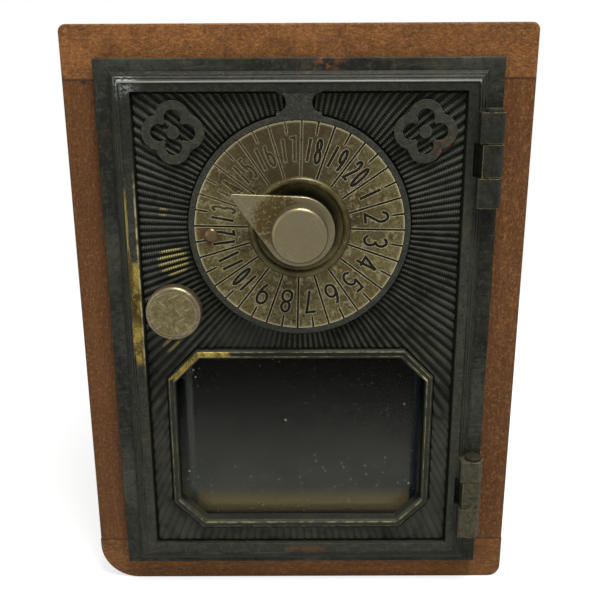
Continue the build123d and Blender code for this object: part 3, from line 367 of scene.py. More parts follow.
class Finish(Nodes):
    """One procedural material, measured in millimetres in the frame that the piece rests in."""

    def __init__(self, name):
        self.material = bpy.data.materials.new(name)
        self.material.use_nodes = True
        super().__init__(self.material.node_tree)
        place = self.add("ShaderNodeTexCoord", output="Object")
        self.place = self.add(
            "ShaderNodeVectorMath", {"operation": "SCALE"}, {"Vector": place, "Scale": 1 / MM}
        )
        self.x, self.y, self.z = (
            self.add("ShaderNodeSeparateXYZ", {}, {"Vector": self.place}, axis) for axis in "XYZ"
        )
        self.out = WOOD_FACE_Y / MM - self.y

    def stretched(self, scale, shift=(0.0, 0.0, 0.0)):
        """The place with each axis scaled, then shifted."""
        return self.add(
            "ShaderNodeVectorMath", {"operation": "MULTIPLY_ADD"}, {0: self.place, 1: scale, 2: shift}
        )

    def leaning(self, lean, along):
        """The place turned by lean about the front's normal, its first axis scaled by along."""
        turned = self.add(
            "ShaderNodeVectorRotate", {"rotation_type": "Y_AXIS"}, {"Vector": self.place, "Angle": lean}
        )
        return self.add("ShaderNodeVectorMath", {"operation": "MULTIPLY"}, {0: turned, 1: (along, 1.0, 1.0)})

    def noise(self, size, detail=3.0, roughness=0.55, distortion=0.0, place=None):
        """Noise whose features are about size millimetres across."""
        return self.add("ShaderNodeTexNoise", {}, {
            "Vector": place or self.place, "Scale": 1 / size, "Detail": detail,
            "Roughness": roughness, "Distortion": distortion,
        })

    def brushed(self, lean, along, size=0.5):
        """Noise drawn out into strokes that lean by an angle."""
        return self.noise(size, 2, 0.5, 0.8, self.leaning(lean, along))

    def scratches(self, size, patch, leans, third_share):
        """1 on strokes that lean three ways: two take turns over patches, and the third is everywhere."""
        turns = self.noise(patch, 2, 0.6).rise(0.44, 0.56)
        first, second, third = (self.brushed(lean, 0.16, size).rise(0.60, 0.68) for lean in leans)
        return (first * turns + second * (1 - turns) + third * third_share).at_most(1.0)

    def cells(self, size):
        """Distance to the nearest of points about size millimetres apart."""
        return self.add("ShaderNodeTexVoronoi", {}, {"Vector": self.place, "Scale": 1 / size}, "Distance")

    def blend(self, under, over, share):
        """Colour over laid on colour under by share."""
        mixed = {MIX_FACTOR: share, MIX_UNDER: under, MIX_OVER: over}
        return self.add("ShaderNodeMix", {"data_type": "RGBA", "clamp_factor": True}, mixed, MIX_RESULT)

    def layered(self, base, *coats):
        """Colours laid on a base one after the other; each coat is a colour and its share."""
        for shade, share in coats:
            base = self.blend(base, shade, share)
        return base

    def edges(self, radius):
        """1 at edges of about radius millimetres, 0 on flat faces."""
        rounded = self.add("ShaderNodeBevel", {"samples": 6}, {"Radius": radius * MM})
        plain = self.add("ShaderNodeNewGeometry", output="Normal")
        along = self.add(
            "ShaderNodeVectorMath", {"operation": "DOT_PRODUCT"}, {0: rounded, 1: plain}, "Value"
        )
        flat, sharp = 0.02, 0.28
        return (1 - along).rise(flat, sharp)

    def turn(self, x, z):
        """Angle round a point of the front, clockwise from the top."""
        return (self.x - x).math("ARCTAN2", self.x - x, self.z - z)

    def cut_corners(self, z, width, tall, corner):
        """Distance outside a rectangle with cut corners, centred at x 0; negative inside it."""
        across = abs(self.x) - width / 2
        up = abs(self.z - z) - tall / 2
        return across.at_least(up).at_least((across + up + corner) / ROOT_TWO)

    def outside_bezel(self):
        """Distance outside the window's bezel, negative inside it."""
        size = sizes()
        return self.cut_corners(WINDOW_Z, size.bezel_width, size.bezel_tall, size.bezel_corner)

    def distance(self, x, z):
        """Distance from a point of the front, in millimetres."""
        across = self.x - x
        up = self.z - z
        return (across * across + up * up) ** 0.5

    def distance_on_floor(self):
        """Distance from the upright line through the origin, in millimetres."""
        return (self.x * self.x + self.y * self.y) ** 0.5

    def finished(
        self, base, roughness, metallic=0.0, relief=None, relief_depth=0.1, rounding=0.0,
        specular=0.5, **others
    ):
        """Closes the material with one shader. relief_depth and rounding are in millimetres."""
        inputs = {
            "Base Color": base, "Roughness": roughness, "Metallic": metallic, "Specular IOR Level": specular,
            **others,
        }
        under = None
        if rounding:
            under = self.add("ShaderNodeBevel", {"samples": 6}, {"Radius": rounding * MM})
            inputs["Normal"] = under
        if relief is not None:
            bump = {"Height": relief, "Strength": 1.0, "Distance": relief_depth * MM}
            if under is not None:
                bump["Normal"] = under
            inputs["Normal"] = self.add("ShaderNodeBump", {}, bump)
        shader = self.add("ShaderNodeBsdfPrincipled", {}, inputs)
        self.close(shader)
        return self.material


def dress(node_names, material):
    """Gives CAD nodes a material."""
    for name in node_names:
        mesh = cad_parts[name].data
        mesh.materials.clear()
        mesh.materials.append(material)


def sizes():
    return bpy.context.scene.box_door_sizes


def colours():
    return bpy.context.scene.box_door_colours


def studio():
    return bpy.context.scene.box_door_studio


def mesh_piece(name, points, faces, material, body):
    """A new mesh object from points in millimetres (x, out, z), which rides on a body."""
    mesh = bpy.data.meshes.new(name)
    mesh.from_pydata([(x * MM, WOOD_FACE_Y - out * MM, z * MM) for x, out, z in points], [], faces)
    mesh.materials.append(material)
    mesh.update()
    mesh.polygons.foreach_set("use_smooth", [True] * len(mesh.polygons))
    piece = bpy.data.objects.new(name, mesh)
    bpy.context.scene.collection.objects.link(piece)
    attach(piece, body)
    return piece


# ---------------------------------------------------------------- finishes

def wood_finish(name, along, pale, deep, fleck_amount, shift):
    """Oiled hardwood: along is the axis that the grain follows."""
    tint = colours()
    finish = Finish(name)
    grain = finish.stretched({"X": (0.09, 1, 1), "Y": (1, 0.09, 1), "Z": (1, 1, 0.09)}[along], shift)
    drawn = finish.stretched({"X": (0.5, 1, 1), "Y": (0.42, 0.45, 1), "Z": (1, 1, 0.6)}[along], shift)
    broad = finish.noise(14, 2, 0.5, 0.6, grain)
    bands = finish.noise(2.8, 3, 0.62, 0.8, grain)
    fibres = finish.noise(0.42, 3, 0.7, 0.2, grain)
    flecks = finish.noise(0.32, 3, 0.7, 0.0, drawn)
    dashes = finish.noise(0.62, 2, 0.6, 0.0, drawn)
    pores = flecks.rise(0.50, 0.64) * fleck_amount
    glints = flecks.rise(0.44, 0.30) * fleck_amount
    stain = finish.noise(30, 3, 0.6, 0.4).rise(0.48, 0.70)
    scuff = finish.noise(0.9, 2, 0.5).rise(0.72, 0.78) * finish.noise(22, 2).rise(0.52, 0.62)
    chip = finish.distance(-HALF_WIDTH + 5.2, LID_UNDERSIDE - 0.4).rise(1.0, 0.3)
    seams = finish.z.band(LID_UNDERSIDE, 0.10, 0.22).at_least(finish.z.band(BASE_TOP, 0.08, 0.18))
    base = finish.layered(
        deep,
        (pale, (broad * 0.24 + bands * 0.30 + fibres * 0.46).rise(0.34, 0.70)),
        (tint.wood_pore, pores * 0.42),
        (WOOD_GLINT, glints * 0.30),
        (tint.wood_pore, dashes.rise(0.48, 0.68) * 0.30 * fleck_amount),
        (WOOD_DASH, dashes.rise(0.48, 0.32) * 0.26 * fleck_amount),
        (tint.wood_pore, stain * 0.14),
        (WOOD_SCUFF, scuff * 0.45),
        (tint.wood_pore, (finish.edges(0.7) * 0.6).at_least(chip.at_least(seams * 0.8))),
    )
    rough = 0.52 + fibres * 0.16 + pores * 0.2
    relief = fibres * 0.5 - pores * 1.4 + bands * 0.4
    return finish.finished(base, rough, 0.0, relief, 0.07, specular=0.12)


def rim_face(finish):
    """1 on the front faces of the rim and of the bezel."""
    return finish.out.rise(3.92, 4.10)


def raised(finish):
    """1 on what stands out as far as the rim does."""
    return finish.out.rise(3.4, 4.2)


def beyond_rim(finish):
    """1 on what stands out further than the rim's front."""
    return finish.out.rise(4.3, 4.5)


def hinge_side(finish):
    """1 past the door's right edge."""
    return finish.x.rise(-DOOR_LEFT - 2.4, -DOOR_LEFT - 1.4)


def barrel_face(finish):
    """1 on what stands out as far as the hinges' barrels."""
    return finish.out.rise(4.6, 5.4)


def left_rim():
    """Left and right edge of the rim's left stretch."""
    size = sizes()
    return DOOR_LEFT + size.bevel, DOOR_LEFT + size.field_side


def bezel_place(finish):
    """Distance outside the bezel, height over the window's middle, and 1 on the bezel's front."""
    bezel = finish.outside_bezel()
    front = bezel.rise(0.15, 0.0) * bezel.rise(-1.98, -1.86) * rim_face(finish)
    return bezel, finish.z - WINDOW_Z, front


def bezel_corner(finish):
    """The upper left corner of the bezel's front, rubbed to bare brass."""
    _, up, front = bezel_place(finish)
    return front * finish.distance(-27.5, WINDOW_Z + 24.2).rise(10.6, 8.8) * up.rise(17.3, 18.3)


def cast_wear(finish):
    """Where hands have rubbed the casting down to brass: the left rim and a corner of the bezel."""
    outer, inner = left_rim()
    rim = finish.x.band((outer + inner) / 2, (inner - outer) / 2 - 0.35, 0.3)
    rim = rim * finish.z.band(RIM_WEAR_Z - 0.5, 9.5, 7.5) * rim_face(finish)
    return rim + bezel_corner(finish) * 1.3


def cast_lines(finish):
    """Fine bright lines along the edges of the left rim and of the bezel."""
    size = sizes()
    outer, inner = left_rim()
    half_width, half_tall = size.bezel_width / 2, size.bezel_tall / 2
    rim = finish.x.band(outer + 0.10, 0.12, 0.16).at_least(finish.x.band(inner - 0.16, 0.12, 0.16))
    rim = rim * finish.z.band(RIM_WEAR_Z + 8, 22, 6) * rim_face(finish)
    bezel, up, front = bezel_place(finish)
    right = finish.x.rise(half_width - 3.0, half_width - 2.0)
    foot = up.rise(-half_tall + 2.4, -half_tall + 1.6) * finish.x.band(0.0, 27.0, 3.0)
    left = finish.x.rise(-half_width + 3.0, -half_width + 2.0)
    lines = (
        bezel.band(-0.30, 0.12, 0.18) * (0.34 + (foot + left) * 0.5)
        + bezel.band(-1.66, 0.12, 0.18) * (0.34 + right * up.rise(-14, -8) * 0.7)
    )
    patchy = finish.noise(2.6, 3, 0.65).rise(0.42, 0.60) * 0.8 + 0.2
    return (rim * 0.7 + front * lines) * patchy


def bezel_dark(finish):
    """The black between the bezel's two edges."""
    _, up, front = bezel_place(finish)
    return front * (up.rise(17.0, 24.0) * 0.45 + 0.4) * (1 - bezel_corner(finish))


def darker_at_top(finish):
    """Darkens the upper end of the door and its hinge, unevenly."""
    door = finish.z.rise(98.0, 126.0)
    hinge = finish.z.rise(96.0, 104.0) * hinge_side(finish)
    uneven = finish.noise(1.2, 4, 0.75).rise(0.60, 0.40) * 0.35 + 0.4
    return door.at_least(hinge) * beyond_rim(finish) * uneven


def hinge_edges(finish):
    """Brassy edges of the hinges' knuckles."""
    near = hinge_side(finish) * barrel_face(finish)
    return near * finish.edges(0.35) * finish.noise(1.6, 3, 0.6).rise(0.34, 0.56)


def lower_hinge_wear(finish):
    """Where the lower hinge is rubbed to a brassy tone."""
    near = hinge_side(finish) * finish.z.rise(41.5, 39.5) * barrel_face(finish)
    return near * (finish.noise(1.2, 4, 0.7).rise(0.30, 0.70) * 0.6)


def bead_wear(finish):
    """Where the rim's beads are rubbed bright."""
    return finish.x.rise(DOOR_LEFT + 4.0, DOOR_LEFT + 3.0) * finish.z.band(LATCH_Z + 8, 16, 10)


def bead_shine(finish):
    """A silvery line along the top of the rim's inner bead: partly wear and partly a painted highlight where it
    faces up.
    """
    return finish.z.rise(DOOR_TOP - 3.0, DOOR_TOP - 2.2) * beyond_rim(finish) * 0.5


def foot_rust(finish):
    """A rusty streak on the rim below the window."""
    across = finish.x.band(1.2, 3.0, 4.0) * finish.z.band(DOOR_BOTTOM + 3.4, 0.5, 0.6) * raised(finish)
    return across * finish.noise(1.4, 3, 0.6).rise(0.40, 0.60) * 0.8


def rim_chip(finish):
    """A small chip in the middle of the rim's top edge."""
    return finish.distance(0.2, DOOR_TOP - 2.6).rise(0.75, 0.45)


def rim_tarnish(finish):
    """Dark brown in the middle of the left rim's bare stretch."""
    side = finish.x.rise(DOOR_LEFT + 5.0, DOOR_LEFT + 4.4)
    patch = finish.z.band(RIM_WEAR_Z + 1.8, 2.6, 4.5)
    return side * patch * finish.noise(2.4, 3, 0.6).rise(0.36, 0.52)


def top_smear(finish):
    """A rusty smear on the frame, above the middle of the door."""
    return finish.distance(5.5, DOOR_TOP + 1.8).rise(7.0, 1.0) * finish.noise(1.6, 3, 0.6).rise(0.46, 0.64)


def ornament_stain(finish):
    """A reddish stain at the foot of the right ornament."""
    near = finish.distance(34.6, DIAL_Z + 18.6).rise(4.2, 1.0)
    return near * finish.noise(1.2, 3, 0.6).rise(0.44, 0.62) * finish.out.rise(2.0, 2.6)


def corner_scuff(finish):
    """Silvery scratches on the top left corner of the rim."""
    near = finish.distance(DOOR_LEFT + 3.3, DOOR_TOP - 2.6).rise(5.0, 1.2)
    return near * finish.noise(0.9, 4, 0.75, 1.5).rise(0.46, 0.54) * raised(finish)


def bare_brass(finish):
    """Brass where the black has gone, tarnished in upright streaks."""
    tarnish = finish.noise(2.6, 4, 0.7, 0.6, finish.stretched((1.0, 1.0, 0.4)))
    return finish.layered(
        colours().bare_brass,
        (BRASS_DULL, tarnish.rise(0.40, 0.62)),
        (BRASS_BRIGHT, finish.noise(0.7, 3, 0.6).rise(0.56, 0.72) * 0.7),
        (BRASS_TARNISH, rim_tarnish(finish) * 0.85),
    )


def with_hollows(finish, base, low, top, grit):
    """The casting's colour: dark below low, partly dirt and partly painted shade in the recesses; paler on the
    faces at top, and painted paler on the window's sill as painted light.
    """
    tint = colours()
    size = sizes()
    behind = finish.out.rise(0.4, -0.2) * finish.outside_bezel().rise(-1.0, 0.0)
    height = finish.out.rise(low, top).at_least(behind)
    opening = finish.cut_corners(
        WINDOW_Z, size.bezel_inner_width, size.bezel_inner_tall, size.bezel_inner_corner
    ).rise(0.3, 0.0)
    # The window's lower sill is kept out of the dark and painted paler as painted light.
    painted_light_sill = opening * (finish.z - WINDOW_Z).rise(-17.0, -19.0)
    crest = finish.out.rise(top - 0.14, top + 0.04) * (grit.rise(0.40, 0.66) * 0.14 + 0.10)
    return finish.layered(
        tint.dark_patina_and_shade,
        (base, (height * 0.88 + 0.12).at_least(painted_light_sill)),
        (tint.rubbed, painted_light_sill * 0.12),
        (tint.rubbed, crest),
    )


def patina_finish(name, wear=None, hollow=None, dust=0.08, scale=1.0, rounding=0.0, rub=0.5, marks=()):
    """Blackened cast brass. wear(finish) is 1 where brass shows; hollow is the two heights between which the dark
    of the hollows (partly dirt, partly painted shade) ends; marks are pairs of a colour and a function that gives
    its share."""
    tint = colours()
    finish = Finish(name)
    grit = finish.noise(0.5 * scale, 4, 0.7)
    mottle = finish.noise(4.5 * scale, 4, 0.62, 0.3)
    clouds = finish.noise(22 * scale, 3, 0.55, 0.5)
    pitted = finish.noise(1.3 * scale, 4, 0.78)
    rubbed = finish.noise(2.2, 4, 0.65)
    lines = finish.brushed(0.12, 0.10).rise(0.58, 0.70).at_least(finish.brushed(-1.4, 0.12).rise(0.62, 0.72))
    base = finish.layered(
        tint.dark_patina_and_shade,
        (tint.patina, (mottle * 0.25 + grit * 0.75).rise(0.26, 0.62)),
        (tint.patina_dust, clouds.rise(0.40, 0.74) * dust),
        (tint.patina_dust, pitted.rise(0.48, 0.64) * 0.42),
        (tint.dark_patina_and_shade, pitted.rise(0.50, 0.38) * 0.55),
        (PATINA_WARM, finish.noise(9, 3, 0.6).rise(0.44, 0.76) * 0.35),
        (METAL_SPECK, finish.noise(0.4, 2, 0.5).rise(0.70, 0.76) * 0.6),
        (PATINA_LINE, lines * 0.09),
        (tint.rubbed, finish.edges(0.30) * (rubbed + 0.25).rise(0.55, 0.85) * rub),
    )
    metal = 0.10
    rough = 0.50 + grit * 0.14
    if hollow is not None:
        base = with_hollows(finish, base, *hollow, grit)
    if wear is not None:
        worn = (wear(finish) * (rubbed * 0.8 + 0.35)).rise(0.26, 0.60)
        base = finish.blend(base, bare_brass(finish), worn * 0.92)
        metal = worn * 0.4 + 0.10
        rough = rough - worn * 0.18
    base = finish.layered(base, *((shade, share(finish)) for shade, share in marks))
    relief = grit * 0.7 + mottle * 0.4 + pitted * 0.8
    return finish.finished(base, rough, metal, relief, 0.13, rounding, specular=0.11)


def sunburst_wear(finish):
    """Spots where the ridges are rubbed bright, beside the latch."""
    crest = finish.out.rise(FIELD_FRONT + 0.30, FIELD_FRONT + 0.60)
    spots = finish.distance(LATCH_X - 0.6, LATCH_Z + 11.2).rise(5.2, 2.0)
    spots = spots.at_least(finish.distance(LATCH_X - 2.0, LATCH_Z - 10.5).rise(4.0, 1.5) * 0.50)
    spots = spots.at_least(finish.distance(LATCH_X - 2.5, LATCH_Z + 23.5).rise(2.2, 0.8) * 0.45)
    return spots * crest * 1.2


def sunburst_finish(name):
    """The sunburst's blackened ridges, notched across like rope: darker between them and in the notches, partly
    dirt and partly painted shade, with bead tops laid paler, partly wear and partly painted highlight.
    """
    tint = colours()
    size = sizes()
    finish = Finish(name)
    radius = finish.distance(DIAL_X, DIAL_Z)
    ridge = (finish.turn(DIAL_X, DIAL_Z) * (size.ridge_count / (2 * pi)) + 0.5).whole()
    swirl = (ridge * 2.4 + radius * (2 * pi / size.bead_pitch)).sine() * 0.5 + 0.5
    grit = finish.noise(0.5, 4, 0.7)
    mottle = finish.noise(4.0, 4, 0.62, 0.3)
    height = finish.out.rise(FIELD_FRONT + 0.05, FIELD_FRONT + size.ridge_rise - 0.12)
    notched = (1 - finish.noise(8, 2, 0.5).rise(0.62, 0.42) * 0.6) * height
    worn = sunburst_wear(finish).rise(0.30, 0.75)
    tone = finish.layered(
        tint.dark_patina_and_shade,
        (tint.patina, (mottle * 0.5 + grit * 0.5).rise(0.26, 0.56)),
        (tint.patina_dust, finish.noise(17, 3, 0.55, 0.5).rise(0.36, 0.70) * 0.6),
        (RIDGE_WARM, finish.noise(9, 3, 0.6).rise(0.50, 0.70) * 0.5),
    )
    # Valleys and notches are laid dark and bead tops pale: painted shade and painted highlight, besides dirt and
    # wear.
    base = finish.layered(
        tint.dark_patina_and_shade,
        (tone, height * 0.82 + 0.18),
        (tint.dark_patina_and_shade, (1 - swirl) * notched * 0.5),
        (tint.rubbed, height * swirl * (mottle + 0.1).rise(0.40, 0.68) * 0.40),
        (METAL_SPECK, finish.noise(0.4, 2, 0.5).rise(0.72, 0.78) * 0.45),
        # Worn gold spots, painted dark on the lower sides and pale on the crests: painted shade and painted
        # highlight on real wear.
        (finish.blend(RIDGE_GOLD_DARK, RIDGE_GOLD, swirl * height), worn * 0.8),
    )
    relief = swirl * notched * 1.1 + grit * 0.5
    return finish.finished(base, 0.46 + grit * 0.16, worn * 0.35 + 0.08, relief, 0.09, specular=0.11)


def cup_shade(finish):
    """Painted shade in the bottom of the dial's cup."""
    return finish.distance(DIAL_X, DIAL_Z).rise(10.2, 8.6)


def brass_finish(name, plain, stain, rough, spots, shade=None, rub=0.45):
    """Aged rolled brass. shade(finish) is 1 where it is painted black as shade; rub is how bright its edges are.
    """
    finish = Finish(name)
    grit = finish.noise(0.4, 4, 0.7)
    mottle = finish.noise(2.0, 4, 0.7, 0.2)
    clouds = finish.noise(9, 3, 0.6, 0.4)
    base = finish.layered(
        plain,
        (stain, (clouds * 0.6 + mottle * 0.5).rise(0.42, 0.68)),
        (BRASS_SPOT, mottle.rise(0.56, 0.72) * spots),
        (stain, grit.rise(0.54, 0.68) * 0.5),
        (BRASS_EDGE, finish.edges(0.25) * rub),
    )
    if shade is not None:
        base = finish.blend(base, CUP_PAINTED_SHADE, shade(finish) * 0.9)
    return finish.finished(base, rough + mottle * 0.18, 0.5, grit * 0.5 + mottle * 0.6, 0.03, specular=0.3)


def dial_finish(name):
    """The dial's brass: stained, with black in its engraving except where it has worn out."""
    tint = colours()
    finish = Finish(name)
    grit = finish.noise(0.38, 4, 0.72)
    mottle = finish.noise(1.7, 4, 0.7, 0.3)
    clouds = finish.noise(9, 3, 0.6, 0.4)
    turn = finish.turn(DIAL_X, DIAL_Z)
    rim = finish.distance(DIAL_X, DIAL_Z).rise(DIAL_RADIUS - 0.7, DIAL_RADIUS - 0.15)
    rivet = finish.distance(DIAL_X - 21.5, DIAL_Z - 1.8).rise(4.4, 2.0)
    upper_left = abs(turn + 0.62).rise(0.95, 0.45)
    # Pale outlines on the engraving's edges: partly burrs and partly painted highlight, weaker at the upper left.
    edge = finish.edges(0.5) * (mottle + 0.3).rise(0.40, 0.66)
    filled = finish.out.rise(DIAL_FRONT - 0.04, DIAL_FRONT - 0.10)
    ink = filled * (1 - upper_left * (mottle + upper_left * 0.25).rise(0.46, 0.60) * 0.85)
    base = finish.layered(
        tint.dial_brass,
        (tint.dial_stain, (clouds * 0.5 + mottle * 0.6).rise(0.40, 0.66) * 0.9),
        (DIAL_PALE, mottle.rise(0.50, 0.62) * 0.6),
        (DIAL_BROWN, finish.noise(3.2, 3, 0.6).rise(0.54, 0.66) * 0.40),
        (tint.dial_stain, grit.rise(0.50, 0.64) * 0.7),
        (DIAL_SCRATCH, finish.scratches(0.5, 2.6, (0.4, -1.1, 1.9), 0.5) * 0.2),
        (DIAL_SPOT, finish.noise(1.2, 4, 0.7, 0.5).rise(0.54, 0.66) * 0.75),
        (DIAL_TOP, abs(turn + 0.15).rise(1.1, 0.3) * 0.85),
        (DIAL_RUST, rivet * (mottle + 0.2).rise(0.4, 0.7) * 0.9),
        (DIAL_RIM, rim * 0.4),
        (DIAL_BURR_AND_HIGHLIGHT, edge * (0.9 - upper_left * 0.4)),
        (tint.ink, ink),
    )
    relief = grit * 0.5 + mottle * 0.7
    return finish.finished(base, 0.42 + mottle * 0.2, (1 - ink) * 0.4, relief, 0.035, specular=0.14)


def knob_corrosion(finish):
    """1 on the pointer by the knob, where it has corroded."""
    return finish.distance(DIAL_X - 5.0, DIAL_Z + 3.0).rise(7.6, 4.4)


def latch_rings(finish):
    """The latch knob's handled face, and the dirty line round it."""
    radius = finish.distance(LATCH_X, LATCH_Z)
    return radius.rise(5.7, 4.9), radius.band(5.85, 0.10, 0.16)


def nickel_finish(name, scratch, pitting, stain=None, rings=None, dull=0.6):
    """Worn nickel plate. stain(finish) is 1 where it has corroded; rings(finish) gives a face and a line."""
    tint = colours()
    finish = Finish(name)
    grit = finish.noise(0.35, 4, 0.7)
    mottle = finish.noise(1.7, 4, 0.72, 0.4)
    clouds = finish.noise(6, 3, 0.6, 0.3)
    spots = (mottle * 0.7 + grit * 0.4).rise(0.58, 0.70) * pitting
    if stain is not None:
        near = stain(finish)
        corroded = near * (finish.noise(1.0, 4, 0.72) + near * 0.10).rise(0.50, 0.57) * 1.2
        spots = (spots + corroded).at_most(1.0)
    scratches = finish.scratches(0.55, 2.2, (-0.9, 2.2, 0.5), 1.0) * scratch
    gouges = finish.noise(0.8, 3, 0.6, 0.8).rise(0.60, 0.68) * scratch
    base = finish.blend(tint.nickel, NICKEL_DULL, clouds.rise(0.40, 0.64) * dull)
    if rings is not None:
        face, line = rings(finish)
        core = (mottle * 0.6 + finish.noise(0.8, 4, 0.7, 2.0) * 0.5).rise(0.44, 0.62)
        base = finish.layered(base, (NICKEL_HANDLED, face * core * 0.85), (NICKEL_LINE, line * 0.8))
    base = finish.layered(
        base,
        (tint.nickel_stain, spots),
        (NICKEL_SCRATCH, scratches * 0.6),
        (tint.nickel_stain, gouges * 0.6),
        # Pale edges are a painted highlight.
        (NICKEL_PAINTED_HIGHLIGHT, finish.edges(0.3) * 0.45),
    )
    relief = grit * 0.3 - scratches * 0.5 - spots * 0.6 - gouges * 0.5
    return finish.finished(base, 0.30 + mottle * 0.14 + spots * 0.25, 0.85, relief, 0.03)


def lock_finish(name, plain, rough, metallic, stain=0.3):
    """Plain turned or drawn metal of the lock's inside."""
    finish = Finish(name)
    turned = finish.noise(0.5, 3, 0.6, 0.0, finish.stretched((1.0, 0.25, 1.0)))
    mottle = finish.noise(3.4, 4, 0.65, 0.3)
    base = finish.layered(
        plain,
        (LOCK_STAIN, mottle.rise(0.46, 0.70) * stain),
        (LOCK_TURNED, turned.rise(0.60, 0.74) * 0.25),
        (LOCK_EDGE, finish.edges(0.25) * 0.3),
    )
    return finish.finished(base, rough + mottle * 0.2, metallic, turned * 0.6 + mottle * 0.4, 0.02)


def glass_finish(name):
    """Old plate glass with dust, and painted light and shade of the inside: a grey film that thickens downwards
    over a painted dark, a pale band at the foot painted as the lit floor seen through it, and light caught in its
    bevels painted as a pale strip on the left and a dark one on the right.
    """
    finish = Finish(name)
    up = finish.z - WINDOW_Z
    specks = (finish.cells(1.9).rise(0.14, 0.08) * 0.7).at_least(finish.cells(5.2).rise(0.07, 0.05))
    lint = finish.noise(1.1, 3, 0.6, 1.0).rise(0.70, 0.73) * 0.6
    dust = (specks + lint).at_most(1.0)
    haze = finish.noise(11, 4, 0.65, 0.6)
    # A pale brown band at the foot: painted light, the lit floor inside seen through the glass.
    foot = up.rise(-14.6, -19.0) * (1 - up.rise(-21.8, -23.0))
    # Painted light in the left bevel and painted shade in the right one.
    left_bevel_painted_light = finish.x.band(-29.0, 0.5, 0.6)
    right_bevel_painted_shade = finish.x.band(30.4, 0.7, 0.5)
    # The film thickens downwards over a painted dark: partly real film and partly painted light and shade of the
    # inside.
    depth = (up.rise(24.0, -20.0) ** 1.1) * (haze.rise(0.30, 0.66) * 0.22 + 0.80)
    base = finish.layered(
        GLASS_PAINTED_SHADE,
        (colours().glass, depth),
        (GLASS_PAINTED_FLOOR_LIGHT, foot),
        (GLASS_LEFT_PAINTED_LIGHT, left_bevel_painted_light),
        (GLASS_RIGHT_PAINTED_SHADE, right_bevel_painted_shade),
        (GLASS_DUST, dust * (1 - foot * 0.6)),
    )
    film = depth * 0.14 + 0.66
    cover = film.at_least(foot * 0.85).at_least(left_bevel_painted_light * 0.5)
    cover = cover.at_least(right_bevel_painted_shade * 0.8).at_least(dust * 0.85)
    return finish.finished(base, 0.16 + haze * 0.12, specular=0.08, Alpha=cover, IOR=1.5)


# ---------------------------------------------------------------- operators

class BOXDOOR_OT_wood(Operator):
    """Grain, pores and worn edges on the five boards"""

    bl_idname = "boxdoor.wood"
    bl_label = "Wooden Boards"

    def execute(self, context):
        tint = colours()
        boards = {
            "top_board": ("Y", tint.wood_pale, tint.wood_deep, 0.68, (0.0, 3.0, 5.0)),
            "bottom_board": ("X", BASE_PALE, BASE_DEEP, 0.55, (21.0, 9.0, 2.0)),
            "left_board": ("Z", tint.wood_red, tint.wood_deep, 0.55, (7.0, 31.0, 4.0)),
            "right_board": ("Z", tint.wood_red, tint.wood_deep, 0.65, (53.0, 12.0, 8.0)),
            "back_board": ("Z", tint.wood_red, tint.wood_deep, 0.40, (81.0, 6.0, 1.0)),
        }
        for board, (along, pale, deep, flecks, shift) in boards.items():
            dress([board], wood_finish("wood_" + board, along, pale, deep, flecks, shift))
        return {"FINISHED"}


class BOXDOOR_OT_casting(Operator):
    """Blackened, worn finish on the frame, the door casting and the hinges, and the rim's fine beads"""

    bl_idname = "boxdoor.casting"
    bl_label = "Frame and Door Casting"

    def execute(self, context):
        size = sizes()
        tint = colours()
        hinge_marks = (
            (HINGE_BRASS, lower_hinge_wear), (tint.dark_patina_and_shade, darker_at_top), (HINGE_EDGE, hinge_edges),
        )
        door_marks = (
            (tint.dark_patina_and_shade, bezel_dark), (LINE_BRASS, cast_lines), (SCUFF_SILVER, corner_scuff),
            (ORNAMENT_RED, ornament_stain), (HINGE_BRASS, lower_hinge_wear), (tint.dark_patina_and_shade, rim_chip),
            (tint.dark_patina_and_shade, darker_at_top), (FOOT_RED, foot_rust), (HINGE_EDGE, hinge_edges),
        )
        materials = {
            # The door's recesses are darkened, partly as dirt and partly as painted shade, and its window sill is
            # painted paler as painted light.
            "door_casting": patina_finish(
                "blackened_door", cast_wear, (FIELD_FRONT - 0.4, FIELD_FRONT + 0.9), rounding=0.25,
                marks=door_marks,
            ),
            "door_frame": patina_finish(
                "blackened_frame", dust=1.0, scale=1.2, rounding=0.25, rub=0.35,
                marks=((TOP_RED, top_smear), *hinge_marks),
            ),
        }
        for node, material in materials.items():
            dress([node], material)
        dress(["hinge_pin_upper", "hinge_pin_lower"], patina_finish("blackened_pin", dust=0.5, scale=0.5))
        bright = patina_finish(
            "rubbed_bead", bead_wear, dust=1.0, scale=0.6, rub=0.9, marks=((BEAD_SHINE_AND_WEAR, bead_shine),)
        )
        plain = patina_finish("blackened_bead", dust=0.8, scale=0.6)
        slope = size.bevel_rise / size.bevel
        outer_share, middle_share = 0.36, 0.68
        beads = (
            ("rim_bead_outer", size.bevel * outer_share, size.fine_bead, plain),
            ("rim_bead_middle", size.bevel * middle_share, size.fine_bead, plain),
            ("rim_bead_inner", size.bevel, size.rim_bead, bright),
        )
        for name, inset, radius, material in beads:
            bead_round_door(name, inset, DOOR_RIM_FRONT - (size.bevel - inset) * slope, radius, material)
        return {"FINISHED"}


